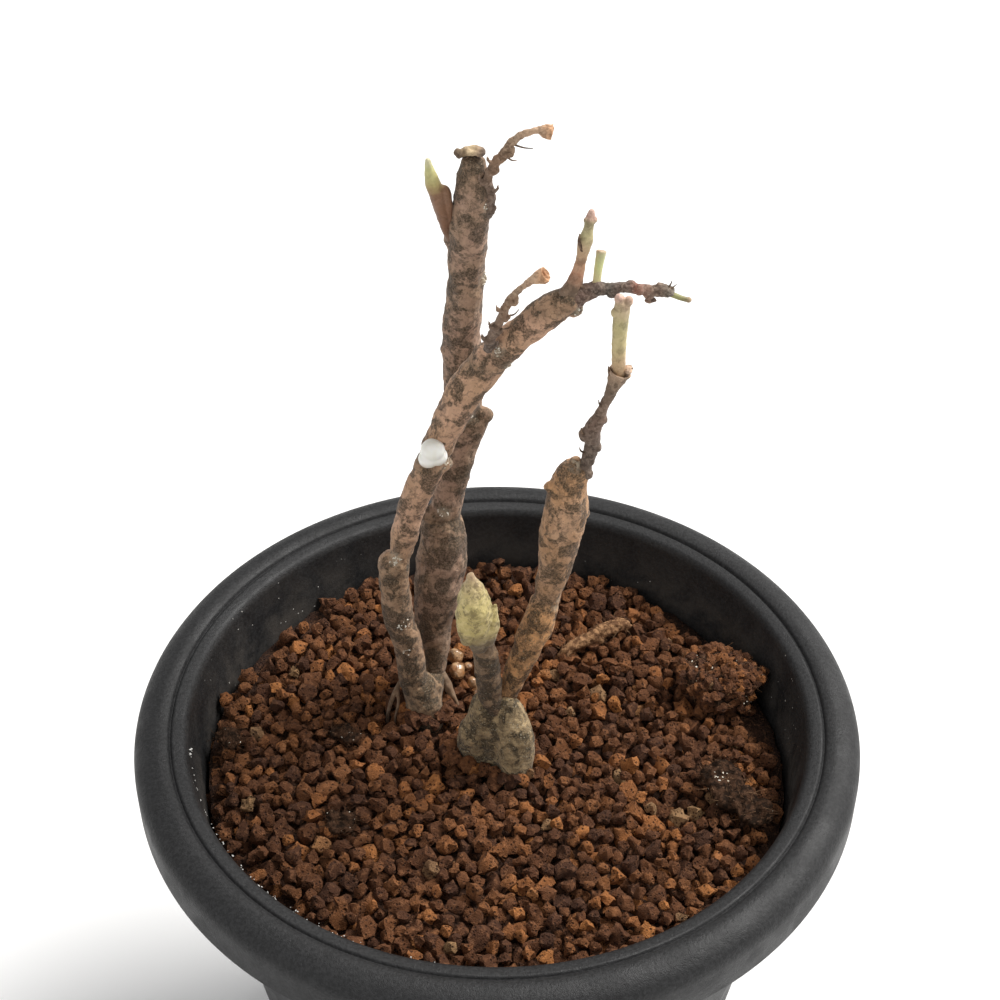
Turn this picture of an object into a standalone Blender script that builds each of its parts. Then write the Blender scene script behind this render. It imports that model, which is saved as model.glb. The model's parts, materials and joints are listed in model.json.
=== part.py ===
"""Potted euphorbia: a moulded nursery pot, its bed of clay granules, and the plant that grows in it.

Metres, +Z up. The origin is the centre of the pot's foot, on the surface that it stands on, and the
plant arches to the right, towards +X, as seen from the front, which is -Y.
"""

import math

import bmesh
import bpy
from mathutils import Matrix, Vector, noise

MM = 0.001
GAP = 0.3 * MM  # clearance between pieces that touch

# Pot: one moulded shell with a rolled lip, a drained floor and a foot ring.
POT_HEIGHT = 76.0 * MM
RIM_RADIUS = 45.0 * MM  # outside of the rolled lip
LIP_WIDTH = 5.5 * MM  # how far the lip stands out from the body
LIP_DROP = 6.8 * MM  # how far the lip hangs down
LIP_ROLL = 2.8 * MM  # height of the lip's rounded shoulder
CREST_WIDTH = 3.4 * MM  # from the lip's highest line out to its rim
SKIRT_TAPER = 0.2 * MM  # how much the lip's hanging skirt thins towards its edge
LIP_CHAMFER = 0.6 * MM  # off the skirt's lower outer edge
ROLL_STEPS = 5
GROOVE = [(1.0, 0.4), (1.2, 0.9), (1.5, 0.5)]  # inside the crest: millimetres in and down from it
LEDGE_LEAN = (0.5 * MM, 0.7 * MM)  # the ledge's upper line, out from the inner wall and down
LEDGE_DROP = 1.4 * MM  # from the rim down to the inner wall's upper edge
WALL = 1.2 * MM
BASE_RADIUS = 28.5 * MM
FOOT_WIDTH = 1.8 * MM
FOOT_HEIGHT = 2.8 * MM
FLOOR = 1.4 * MM
POT_SEGMENTS = 64

# Drainage: narrow slots round the floor, and notches that let water out under the foot ring.
SLOT_COUNT = 8
SLOT_WIDTH = 3.0 * MM
SLOT_LENGTH = 9.0 * MM
SLOT_PITCH_RADIUS = 16.0 * MM  # from the pot's axis to a slot's middle
SLOT_END_STEPS = 6  # facets on a slot's round end
NOTCH_COUNT = 4
NOTCH_WIDTH = 6.0 * MM
NOTCH_HEIGHT = 2.0 * MM

# Soil: a bed that stops short of the rim, slopes down to the right and front, and rises at the wall.
HEADSPACE = 8.5 * MM  # from the rim down to the soil at the pot's axis
SOIL_FALL_RIGHT = 0.032  # slope
SOIL_RISE_BACK = 0.021  # slope
SOIL_EDGE_RISE = 0.5 * MM
SOIL_LUMPS = 0.35 * MM
SOIL_LUMP_SPACING = 7.0 * MM
SOIL_SEGMENTS = 48
SOIL_RINGS = 11

# Loose pieces that lie on the soil. CLOD_MARGIN keeps the two large ones off the pot's wall.
CLOD_MARGIN = 0.8 * MM
MOUND_SIZE = (4.9 * MM, 4.7 * MM, 5.8 * MM)
MOUND_DIRECTION = 21.0  # degrees round the pot, from +X towards +Y
MOUND_ROUGHNESS = 0.18  # share of the size
FIBROUS_CLOD_SIZE = (4.3 * MM, 5.2 * MM, 3.4 * MM)
FIBROUS_CLOD_DIRECTION = -17.0
FIBROUS_CLOD_ROUGHNESS = 0.2
SMALL_CLOD_SIZE = (2.0 * MM, 1.7 * MM, 1.3 * MM)
SMALL_CLOD_ROUGHNESS = 0.3
LEFT_CLOD_DIRECTION = 180.0
MIDDLE_CLOD_PLACE = (-19.5 * MM, 1.5 * MM)
FRONT_CLOD_PLACE = (-19.1 * MM, -13.1 * MM)
GRAIN_SIZE = 1.0 * MM

# Plant: 1 is the size as listed in the growth tables below.
GROWTH = 1.0

# Growth tables: each row is x, y, height above the soil and radius, in millimetres at GROWTH 1.
REAR_CROWN = [
    (-9.0, 7.2, -6.0, 1.8),
    (-9.2, 7.0, -2.0, 2.4),
    (-9.5, 6.9, 0.6, 2.5),
    (-9.6, 6.9, 2.6, 2.3),
    (-9.9, 7.0, 4.0, 1.9),
]
LEFT_STEM = [
    (-10.1, 7.1, 2.0, 1.6),
    (-10.8, 7.2, 6.1, 1.9),
    (-11.1, 7.2, 10.2, 1.8),
    (-11.8, 7.3, 14.0, 1.9),
    (-12.5, 7.4, 18.0, 1.9),
    (-12.7, 7.6, 23.0, 1.9),
    (-12.5, 7.6, 25.6, 2.2),
    (-11.4, 7.7, 28.0, 1.6),
    (-10.7, 7.8, 31.5, 1.7),
    (-9.8, 7.9, 34.8, 1.7),
    (-8.6, 8.0, 38.0, 1.8),
    (-7.3, 8.2, 41.3, 2.0),
    (-6.1, 8.3, 44.6, 1.9),
    (-3.9, 8.4, 49.8, 2.2),
    (-2.0, 8.4, 52.9, 2.1),
    (0.0, 8.2, 55.6, 2.1),
    (3.2, 7.7, 59.2, 1.8),
    (6.2, 7.2, 62.3, 1.7),
    (8.4, 6.9, 63.9, 1.3),
]
TALL_STEM = [
    (-8.6, 8.6, 2.2, 1.1),
    (-8.2, 10.0, 4.0, 1.3),
    (-7.9, 11.3, 6.8, 1.6),
    (-8.2, 12.6, 10.9, 2.4),
    (-7.7, 13.2, 14.4, 3.0),
    (-7.2, 13.8, 18.6, 3.2),
    (-6.8, 14.2, 22.4, 3.1),
    (-6.6, 14.6, 26.2, 2.6),
    (-6.0, 15.0, 30.0, 2.1),
    (-4.9, 15.4, 34.5, 1.9),
    (-3.7, 15.8, 39.0, 2.1),
    (-3.1, 16.0, 41.8, 2.3),
    (-3.9, 16.0, 45.0, 2.3),
    (-4.1, 15.9, 51.0, 2.3),
    (-3.8, 15.4, 57.0, 2.1),
    (-3.3, 15.0, 61.7, 2.3),
    (-3.2, 14.5, 66.8, 2.3),
    (-2.7, 14.0, 71.9, 2.0),
    (-2.6, 13.8, 74.8, 1.5),
    (-2.4, 13.6, 77.0, 1.1),
]
CROWN_ROOT = [
    (-7.2, 9.8, 3.9, 0.6),
    (-6.0, 9.1, 2.6, 0.7),
    (-5.2, 8.2, 0.4, 0.8),
    (-4.9, 7.9, -3.5, 0.6),
]
THIN_ROOT = [
    (-11.0, 7.4, 6.6, 0.4),
    (-12.6, 7.1, 4.9, 0.4),
    (-13.7, 6.7, 2.4, 0.4),
    (-14.3, 6.3, -0.3, 0.35),
    (-14.4, 6.1, -3.5, 0.3),
]
FRONT_CAUDEX = [
    (-0.2, -2.2, -6.0, 3.6),
    (-0.2, -2.0, -2.5, 4.9),
    (-0.2, -2.0, 1.0, 5.1),
    (-0.1, -1.9, 5.0, 4.7),
    (-0.1, -1.8, 8.2, 4.0),
    (-0.3, -1.7, 10.8, 2.9),
    (-0.4, -1.7, 12.4, 2.0),
]
STUB_STEM = [
    (-0.5, -1.7, 10.8, 1.6),
    (-1.0, -2.2, 15.0, 1.6),
    (-1.3, -2.9, 19.0, 1.5),
    (-1.7, -3.6, 22.6, 1.3),
    (-2.1, -4.0, 24.2, 1.2),
]
GREEN_BUD = [
    (-2.1, -4.0, 23.2, 1.2),
    (-2.7, -4.4, 26.0, 2.1),
    (-2.8, -4.7, 29.0, 2.2),
    (-2.9, -4.9, 31.7, 1.5),
    (-3.0, -5.0, 34.2, 0.5),
]
RIGHT_STEM = [
    (0.9, -1.3, 10.2, 1.2),
    (1.7, -0.8, 12.8, 1.3),
    (3.4, 0.0, 17.2, 1.7),
    (4.8, 0.6, 21.4, 2.0),
    (6.0, 1.2, 25.4, 1.7),
    (6.9, 1.7, 30.6, 2.2),
    (7.4, 2.0, 34.4, 2.5),
    (7.9, 2.1, 38.0, 2.7),
    (8.1, 2.3, 41.8, 2.4),
    (8.7, 2.4, 44.2, 1.8),
    (8.9, 2.4, 45.4, 1.3),
]
RIGHT_SPUR = [
    (9.5, 2.3, 41.6, 0.6),
    (10.5, 2.2, 44.0, 0.7),
    (10.8, 2.1, 47.0, 0.8),
    (10.8, 2.0, 49.6, 1.0),
    (11.6, 2.0, 51.6, 0.8),
    (12.3, 2.0, 53.5, 0.8),
    (13.0, 2.0, 55.8, 1.0),
    (13.4, 2.0, 58.2, 1.2),
]
RIGHT_SHOOT = [
    (13.2, 2.0, 57.6, 0.8),
    (13.1, 2.1, 59.9, 0.8),
    (13.1, 2.3, 62.4, 0.8),
    (13.2, 2.4, 65.1, 0.9),
    (13.4, 2.4, 66.6, 0.8),
    (13.4, 2.4, 67.3, 0.4),
]
STEM_CROWN = [
    (-4.1, 13.3, 77.8, 0.4),
    (-3.2, 13.4, 77.9, 0.6),
    (-2.4, 13.5, 78.0, 0.8),
    (-1.6, 13.5, 77.8, 0.6),
]
SIDE_BUD = [
    (-4.6, 14.1, 66.0, 0.4),
    (-5.6, 13.8, 68.4, 0.5),
    (-5.9, 13.5, 70.3, 0.7),
    (-6.2, 13.2, 72.5, 0.9),
    (-6.7, 13.0, 74.0, 0.9),
    (-7.1, 12.9, 75.6, 0.7),
    (-7.3, 12.8, 77.6, 0.3),
]
TOP_PEDUNCLE = [
    (-2.0, 13.4, 70.6, 0.6),
    (-0.9, 12.7, 73.2, 0.7),
    (-0.7, 12.4, 75.4, 0.7),
    (-0.3, 12.4, 77.0, 0.7),
    (0.6, 12.3, 78.3, 0.7),
    (1.7, 12.2, 80.0, 0.5),
    (2.8, 12.2, 80.7, 0.4),
    (3.8, 12.1, 80.9, 0.4),
    (4.8, 12.0, 80.9, 0.6),
    (6.1, 11.9, 81.0, 0.9),
]
MIDDLE_PEDUNCLE = [
    (-0.9, 7.2, 57.0, 0.6),
    (-0.7, 6.0, 59.8, 0.7),
    (-0.1, 5.6, 61.6, 0.7),
    (0.7, 5.4, 63.1, 0.7),
    (1.4, 5.2, 64.7, 0.6),
    (2.3, 5.0, 66.0, 0.4),
    (3.5, 4.7, 67.1, 0.4),
    (5.2, 4.4, 68.3, 0.9),
]
UPRIGHT_SHOOT = [
    (7.5, 7.0, 64.1, 1.0),
    (8.4, 7.2, 65.6, 1.0),
    (8.9, 7.5, 66.7, 0.7),
    (9.3, 7.7, 67.9, 0.5),
    (9.5, 8.0, 69.4, 0.6),
    (9.6, 8.3, 71.0, 0.8),
    (10.0, 8.6, 72.4, 0.6),
    (10.1, 8.8, 73.4, 0.3),
]
SIDE_TWIG = [
    (8.0, 6.9, 63.8, 1.0),
    (9.3, 7.0, 64.2, 1.1),
    (10.5, 7.0, 64.7, 0.9),
    (11.7, 7.0, 64.8, 0.7),
    (13.3, 7.0, 65.1, 0.65),
    (15.2, 7.0, 64.9, 0.65),
    (16.9, 7.0, 64.5, 0.75),
    (18.2, 7.0, 64.6, 0.85),
    (18.9, 7.0, 64.6, 0.6),
]
PALE_SHOOT = [
    (10.6, 7.0, 65.0, 0.4),
    (10.8, 7.4, 66.3, 0.45),
    (11.1, 7.8, 67.8, 0.5),
    (11.3, 8.2, 69.0, 0.5),
]
TWIG_TIP = [
    (18.4, 7.0, 64.5, 0.4),
    (19.3, 7.0, 64.1, 0.4),
    (20.3, 7.0, 63.7, 0.35),
    (21.0, 7.0, 63.4, 0.4),
]
LATEX_DROP = ((-7.6, 6.3, 43.1), (1.6, 1.5, 1.8))  # middle, then half sizes
GOLDEN_GRAINS = [
    (-5.5, 15.0, 1.1),
    (-5.3, 12.4, 1.1),
    (-3.2, 10.7, 0.7),
    (-3.8, 13.6, 0.6),
    (-2.6, 9.2, 0.6),
]  # x, y, and size as a share of GRAIN_SIZE

# What the sizes above give.
BODY_RADIUS = RIM_RADIUS - LIP_WIDTH  # the body's outside, under the lip
SOIL_LEVEL = POT_HEIGHT - HEADSPACE  # the soil's height at the pot's axis
FLOOR_TOP = FOOT_HEIGHT + FLOOR


def clear_scene():
    """Empties the scene."""
    for item in list(bpy.data.objects):
        bpy.data.objects.remove(item)


def finish_material(name, colour, roughness, metallic=0.0):
    """A Principled material of one colour."""
    made = bpy.data.materials.new(name)
    made.use_nodes = True
    shader = made.node_tree.nodes["Principled BSDF"]
    shader.inputs["Base Color"].default_value = (*colour, 1.0)
    shader.inputs["Roughness"].default_value = roughness
    shader.inputs["Metallic"].default_value = metallic
    return made


def add_piece(name, mesh, colour, roughness):
    """Links a mesh as one named piece with its own material."""
    piece = bpy.data.objects.new(name, mesh)
    bpy.context.scene.collection.objects.link(piece)
    mesh.materials.clear()
    mesh.materials.append(finish_material(name, colour, roughness))
    return piece


def add_cutter(name, mesh):
    """Links a mesh as a hidden cutting tool."""
    cutter = bpy.data.objects.new(name, mesh)
    bpy.context.scene.collection.objects.link(cutter)
    cutter.hide_render = True
    cutter.display_type = "WIRE"
    return cutter


def cut(piece, cutter):
    """Takes the cutter's shape out of the piece."""
    boolean = piece.modifiers.new("cut_" + cutter.name, "BOOLEAN")
    boolean.operation = "DIFFERENCE"
    boolean.solver = "EXACT"
    boolean.object = cutter
    boolean.use_self = True  # a tube's tight bends may fold into themselves


def closed_mesh(name, shape):
    """Turns a finished bmesh into a mesh with merged seams and outward faces."""
    bmesh.ops.remove_doubles(shape, verts=shape.verts, dist=0.001 * MM)
    bmesh.ops.recalc_face_normals(shape, faces=shape.faces)
    mesh = bpy.data.meshes.new(name)
    shape.to_mesh(mesh)
    shape.free()
    return mesh


def smooth_shade(mesh, sharp_degrees=40.0):
    """Shades a round piece smooth, with its real edges kept sharp."""
    mesh.shade_smooth()
    mesh.set_sharp_from_angle(angle=math.radians(sharp_degrees))


# --- Pot ---------------------------------------------------------------------------------------


def outer_radius(height):
    """Radius of the body's tapering outside at a height."""
    return BASE_RADIUS + (BODY_RADIUS - BASE_RADIUS) * height / POT_HEIGHT


def inner_radius(height):
    """Radius of the body's inside at a height."""
    return outer_radius(height) - WALL


def quarter_roll(radius_from, radius_to, top, drop, steps):
    """Points of the quarter ellipse that falls from one radius at the top to another, drop lower."""
    points = []
    for step in range(steps + 1):
        turn = math.radians(90.0) * step / steps
        radius = radius_from + (radius_to - radius_from) * math.sin(turn)
        points.append((radius, top - drop * (1.0 - math.cos(turn))))
    return points


def pot_profile():
    """Half section of the pot, from the axis under the floor, out, over the lip and back inside."""
    skirt_inner = RIM_RADIUS - WALL
    skirt_bottom = POT_HEIGHT - LIP_DROP
    under_lip = POT_HEIGHT - LIP_ROLL
    crest = RIM_RADIUS - CREST_WIDTH
    foot_inner = BASE_RADIUS - FOOT_WIDTH
    neck = outer_radius(under_lip)
    points = [(0.0, FOOT_HEIGHT), (foot_inner, FOOT_HEIGHT), (foot_inner, 0.0), (BASE_RADIUS, 0.0)]
    points.append((neck, under_lip))
    points.append((neck + WALL, under_lip + WALL))
    points.append((skirt_inner - WALL, under_lip + WALL))
    points.append((skirt_inner, under_lip))
    points.append((skirt_inner - SKIRT_TAPER, skirt_bottom))
    points.append((RIM_RADIUS - LIP_CHAMFER, skirt_bottom))
    points += reversed(quarter_roll(crest, RIM_RADIUS, POT_HEIGHT, LIP_ROLL, ROLL_STEPS))
    points += [(crest - inwards * MM, POT_HEIGHT - down * MM) for inwards, down in GROOVE]
    ledge = inner_radius(POT_HEIGHT)
    points.append((ledge + LEDGE_LEAN[0], POT_HEIGHT - LEDGE_LEAN[1]))
    points.append((ledge, POT_HEIGHT - LEDGE_DROP))
    points.append((inner_radius(FLOOR_TOP), FLOOR_TOP))
    points.append((0.0, FLOOR_TOP))
    return points


def turned_mesh(name, profile, segments):
    """Spins a half section about the Z axis into a closed solid."""
    shape = bmesh.new()
    corners = [shape.verts.new((radius, 0.0, height)) for radius, height in profile]
    edges = [shape.edges.new(pair) for pair in zip(corners, corners[1:])]
    bmesh.ops.spin(
        shape,
        geom=corners + edges,
        cent=(0.0, 0.0, 0.0),
        axis=(0.0, 0.0, 1.0),
        angle=math.radians(360.0),
        steps=segments,
        use_merge=True,
    )
    return closed_mesh(name, shape)


def slot_cutter():
    """Radial slots with round ends, standing through the floor."""
    shape = bmesh.new()
    reach = SLOT_LENGTH / 2 - SLOT_WIDTH / 2
    for index in range(SLOT_COUNT):
        turn = math.radians(360.0) * index / SLOT_COUNT
        outline = []
        for end in (1.0, -1.0):
            for step in range(SLOT_END_STEPS + 1):
                angle = math.radians(-90.0 + 180.0 * step / SLOT_END_STEPS)
                along = SLOT_PITCH_RADIUS + end * (reach + SLOT_WIDTH / 2 * math.cos(angle))
                across = end * SLOT_WIDTH / 2 * math.sin(angle)
                x = along * math.cos(turn) - across * math.sin(turn)
                y = along * math.sin(turn) + across * math.cos(turn)
                outline.append(shape.verts.new((x, y, FOOT_HEIGHT - FLOOR)))
        face = shape.faces.new(outline)
        pulled = bmesh.ops.extrude_face_region(shape, geom=[face])["geom"]
        lifted = [part for part in pulled if isinstance(part, bmesh.types.BMVert)]
        bmesh.ops.translate(shape, verts=lifted, vec=(0.0, 0.0, 3.0 * FLOOR))
    return add_cutter("drain_slots_cut", closed_mesh("drain_slots_cut", shape))


def notch_cutter():
    """Blocks that open the foot ring sideways, between the slots' directions."""
    shape = bmesh.new()
    for index in range(NOTCH_COUNT):
        turn = math.radians(360.0) * (index + 0.5) / NOTCH_COUNT
        block = bmesh.ops.create_cube(shape, size=1.0)["verts"]
        bmesh.ops.scale(shape, verts=block, vec=(4.0 * FOOT_WIDTH, NOTCH_WIDTH, 2.0 * NOTCH_HEIGHT))
        bmesh.ops.translate(shape, verts=block, vec=(BASE_RADIUS - FOOT_WIDTH / 2, 0.0, 0.0))
        spin = Matrix.Rotation(turn, 3, "Z")
        bmesh.ops.rotate(shape, verts=block, cent=(0.0, 0.0, 0.0), matrix=spin)
    return add_cutter("foot_notches_cut", closed_mesh("foot_notches_cut", shape))


def make_pot():
    """The black moulded pot."""
    mesh = turned_mesh("pot", pot_profile(), POT_SEGMENTS)
    smooth_shade(mesh, 30.0)
    pot = add_piece("pot", mesh, (0.022, 0.023, 0.024), 0.55)
    cut(pot, slot_cutter())
    cut(pot, notch_cutter())
    return pot


# --- Soil --------------------------------------------------------------------------------------


def soil_top(x, y):
    """Height of the soil's surface."""
    out = math.hypot(x, y) / BODY_RADIUS
    lumps = noise.noise(Vector((x, y, 0.0)) / SOIL_LUMP_SPACING) * SOIL_LUMPS
    return SOIL_LEVEL - SOIL_FALL_RIGHT * x + SOIL_RISE_BACK * y + SOIL_EDGE_RISE * out**2 + lumps


def make_soil_bed():
    """The bed of granules as one solid that fills the pot up to its sloping surface."""
    shape = bmesh.new()
    edge = inner_radius(SOIL_LEVEL - SOIL_EDGE_RISE * 2) - GAP
    rings = []
    for ring in range(1, SOIL_RINGS + 1):
        verts = []
        for index in range(SOIL_SEGMENTS):
            turn = math.radians(360.0) * index / SOIL_SEGMENTS
            x = edge * ring / SOIL_RINGS * math.cos(turn)
            y = edge * ring / SOIL_RINGS * math.sin(turn)
            verts.append(shape.verts.new((x, y, soil_top(x, y))))
        rings.append(verts)
    foot = FLOOR_TOP + GAP
    foot_radius = inner_radius(foot) - GAP
    base = []
    for index in range(SOIL_SEGMENTS):
        turn = math.radians(360.0) * index / SOIL_SEGMENTS
        base.append(shape.verts.new((foot_radius * math.cos(turn), foot_radius * math.sin(turn), foot)))
    rings.append(base)
    for inner, outer in zip(rings, rings[1:]):
        for index in range(SOIL_SEGMENTS):
            after = (index + 1) % SOIL_SEGMENTS
            shape.faces.new((inner[index], outer[index], outer[after], inner[after]))
    middle = shape.verts.new((0.0, 0.0, soil_top(0.0, 0.0)))
    for index in range(SOIL_SEGMENTS):
        shape.faces.new((middle, rings[0][index], rings[0][(index + 1) % SOIL_SEGMENTS]))
    shape.faces.new(list(reversed(base)))
    return add_piece("soil_bed", closed_mesh("soil_bed", shape), (0.16, 0.062, 0.026), 0.95)


def near_wall(angle_degrees, size):
    """Middle of a piece of that size that lies near the pot's wall, in a direction from the axis."""
    turn = math.radians(angle_degrees)
    radius = inner_radius(SOIL_LEVEL) - CLOD_MARGIN - max(size[0], size[1])
    return radius * math.cos(turn), radius * math.sin(turn)


def lump_mesh(name, place, size, roughness, detail=3):
    """A rough lump that lies on the soil, with its underside just clear of the soil's surface."""
    shape = bmesh.new()
    bmesh.ops.create_icosphere(shape, subdivisions=detail, radius=1.0)
    x, y = place
    for corner in shape.verts:
        bump = 1.0 + roughness * noise.noise(corner.co * 1.7 + Vector((x, y, 0.0)) / MM)
        dx, dy, dz = corner.co * bump
        corner.co = (x + dx * size[0], y + dy * size[1], soil_top(x, y) + dz * size[2])
        rest = soil_top(corner.co.x, corner.co.y) + GAP
        corner.co.z = max(corner.co.z, rest)
    return closed_mesh(name, shape)


def make_clods():
    """The mound, the fibrous clod and the small scraps on the soil."""
    place = near_wall(MOUND_DIRECTION, MOUND_SIZE)
    mesh = lump_mesh("bark_mound", place, MOUND_SIZE, MOUND_ROUGHNESS)
    add_piece("bark_mound", mesh, (0.14, 0.055, 0.025), 0.95)
    place = near_wall(FIBROUS_CLOD_DIRECTION, FIBROUS_CLOD_SIZE)
    mesh = lump_mesh("fibrous_clod", place, FIBROUS_CLOD_SIZE, FIBROUS_CLOD_ROUGHNESS)
    add_piece("fibrous_clod", mesh, (0.035, 0.02, 0.014), 0.95)
    scraps = {
        "small_clod_left": near_wall(LEFT_CLOD_DIRECTION, SMALL_CLOD_SIZE),
        "small_clod_middle": MIDDLE_CLOD_PLACE,
        "small_clod_front": FRONT_CLOD_PLACE,
    }
    for name, place in scraps.items():
        mesh = lump_mesh(name, place, SMALL_CLOD_SIZE, SMALL_CLOD_ROUGHNESS, 2)
        add_piece(name, mesh, (0.06, 0.05, 0.045), 0.95)


def make_golden_grains():
    """Translucent amber grains between the two crowns."""
    for number, (x, y, share) in enumerate(GOLDEN_GRAINS, 1):
        radius = share * GRAIN_SIZE
        place = (x * GROWTH * MM, y * GROWTH * MM)
        name = f"golden_grain_{number}"
        shape = bmesh.new()
        bmesh.ops.create_icosphere(shape, subdivisions=2, radius=radius)
        lift = soil_top(*place) + GAP + radius
        bmesh.ops.translate(shape, verts=shape.verts, vec=(*place, lift))
        add_piece(name, closed_mesh(name, shape), (0.55, 0.27, 0.09), 0.35)


# --- Plant -------------------------------------------------------------------------------------


def grown(row):
    """A growth table's row as a place in metres and a radius."""
    x, y, height, radius = (value * GROWTH * MM for value in row)
    return Vector((x, y, SOIL_LEVEL + height)), radius


def smoothed(table):
    """The table's places and radii with one more between each two, on a smooth curve through them."""
    rows = [grown(row) for row in table]
    path = [rows[0]]
    for index in range(len(rows) - 1):
        before = rows[max(index - 1, 0)]
        start, end = rows[index], rows[index + 1]
        after = rows[min(index + 2, len(rows) - 1)]
        middle = (9.0 * (start[0] + end[0]) - before[0] - after[0]) / 16.0
        radius = (9.0 * (start[1] + end[1]) - before[1] - after[1]) / 16.0
        path += [(middle, radius), end]
    return path


def limb_mesh(name, table, sides, grow=0.0):
    """A closed tube of varying radius through a growth table, grown on every side by a clearance."""
    path = smoothed(table)
    places = [place for place, _ in path]
    places[0] = places[0] + (places[0] - places[1]).normalized() * grow
    places[-1] = places[-1] + (places[-1] - places[-2]).normalized() * grow
    curve = bpy.data.curves.new(name, "CURVE")
    curve.dimensions = "3D"
    curve.bevel_depth = 1.0
    curve.bevel_resolution = (sides - 4) // 2
    curve.use_fill_caps = True
    spline = curve.splines.new("POLY")
    spline.points.add(len(path) - 1)
    for point, place, (_, radius) in zip(spline.points, places, path):
        point.co = (*place, 1.0)
        point.radius = radius + grow
    guide = bpy.data.objects.new(name + "_path", curve)
    bpy.context.scene.collection.objects.link(guide)
    view = bpy.context.evaluated_depsgraph_get()
    tube = bpy.data.meshes.new_from_object(guide.evaluated_get(view))
    bpy.data.objects.remove(guide)
    shape = bmesh.new()
    shape.from_mesh(tube)
    return closed_mesh(name, shape)


def make_limb(name, table, colour, sides=8, seats=()):
    """One grown piece. seats are the clearance shapes of the pieces that it grows out of."""
    mesh = limb_mesh(name, table, sides)
    smooth_shade(mesh, 50.0)
    piece = add_piece(name, mesh, colour, 0.75)
    for seat in seats:
        cut(piece, seat)
    return piece


def make_clearance(name, table, sides=8):
    """A limb's shape with the clearance all round it, which cuts what it touches."""
    return add_cutter(name + "_clearance", limb_mesh(name + "_clearance", table, sides, GAP))


def make_latex_drop(stem_clearance):
    """The dried drop of latex on the arching stem."""
    middle, half = LATEX_DROP
    shape = bmesh.new()
    bmesh.ops.create_icosphere(shape, subdivisions=3, radius=1.0)
    for corner in shape.verts:
        x, y, z = (middle[axis] + corner.co[axis] * half[axis] for axis in range(3))
        corner.co = (x * GROWTH * MM, y * GROWTH * MM, SOIL_LEVEL + z * GROWTH * MM)
    mesh = closed_mesh("latex_drop", shape)
    smooth_shade(mesh, 50.0)
    cut(add_piece("latex_drop", mesh, (0.80, 0.78, 0.70), 0.4), stem_clearance)


def make_plant(soil):
    """Crowns, stems, buds, roots and dried stalks, each seated on the piece that it grows from."""
    bark, grey, green = (0.27, 0.19, 0.14), (0.17, 0.15, 0.11), (0.42, 0.43, 0.20)
    dried, tan = (0.30, 0.17, 0.11), (0.45, 0.27, 0.17)
    rear = make_clearance("rear_crown", REAR_CROWN, 12)
    caudex = make_clearance("front_caudex", FRONT_CAUDEX, 14)
    left = make_clearance("left_stem", LEFT_STEM, 10)
    tall = make_clearance("tall_stem", TALL_STEM, 10)
    stub = make_clearance("stub_stem", STUB_STEM, 10)
    right = make_clearance("right_stem", RIGHT_STEM, 10)
    spur = make_clearance("right_spur", RIGHT_SPUR)
    upright = make_clearance("upright_shoot", UPRIGHT_SHOOT)
    twig = make_clearance("side_twig", SIDE_TWIG)
    crown_root = make_clearance("crown_root", CROWN_ROOT)
    thin_root = make_clearance("thin_root", THIN_ROOT)

    make_limb("rear_crown", REAR_CROWN, grey, 12)
    make_limb("left_stem", LEFT_STEM, bark, 10, [rear])
    make_limb("tall_stem", TALL_STEM, bark, 10, [rear, left])
    make_limb("crown_root", CROWN_ROOT, tan, 8, [tall, rear])
    make_limb("thin_root", THIN_ROOT, tan, 8, [left])
    make_limb("front_caudex", FRONT_CAUDEX, grey, 14)
    make_limb("stub_stem", STUB_STEM, grey, 10, [caudex])
    make_limb("green_bud", GREEN_BUD, green, 10, [stub])
    make_limb("right_stem", RIGHT_STEM, bark, 10, [caudex, stub])
    make_limb("right_spur", RIGHT_SPUR, dried, 8, [right])
    make_limb("right_shoot", RIGHT_SHOOT, green, 8, [spur])
    make_limb("stem_crown", STEM_CROWN, tan, 8, [tall])
    make_limb("side_bud", SIDE_BUD, green, 8, [tall])
    make_limb("top_peduncle", TOP_PEDUNCLE, dried, 8, [tall])
    make_limb("middle_peduncle", MIDDLE_PEDUNCLE, dried, 8, [left])
    make_limb("upright_shoot", UPRIGHT_SHOOT, tan, 8, [left])
    make_limb("side_twig", SIDE_TWIG, dried, 8, [left, upright])
    make_limb("pale_shoot", PALE_SHOOT, green, 8, [twig])
    make_limb("twig_tip", TWIG_TIP, green, 8, [twig])
    make_latex_drop(left)
    for buried in (rear, caudex, crown_root, thin_root):
        cut(soil, buried)


def main():
    clear_scene()
    make_pot()
    soil = make_soil_bed()
    make_clods()
    make_golden_grains()
    make_plant(soil)


main()
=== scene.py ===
# %% [markdown]
# # A potted euphorbia
# This lesson builds the looks of a small succulent in a black nursery pot: a moulded pot, a bed of
# baked clay granules, two crowns with jointed, mottled stems, and the dried flower stalks, buds and
# shoots on them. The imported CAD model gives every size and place. Here each of its plain solids gets
# a detailed piece that stands in the same spot.

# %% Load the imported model
import json
import math

import bmesh
import bpy
import numpy as np
from mathutils import Matrix, Vector, kdtree, noise

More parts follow.
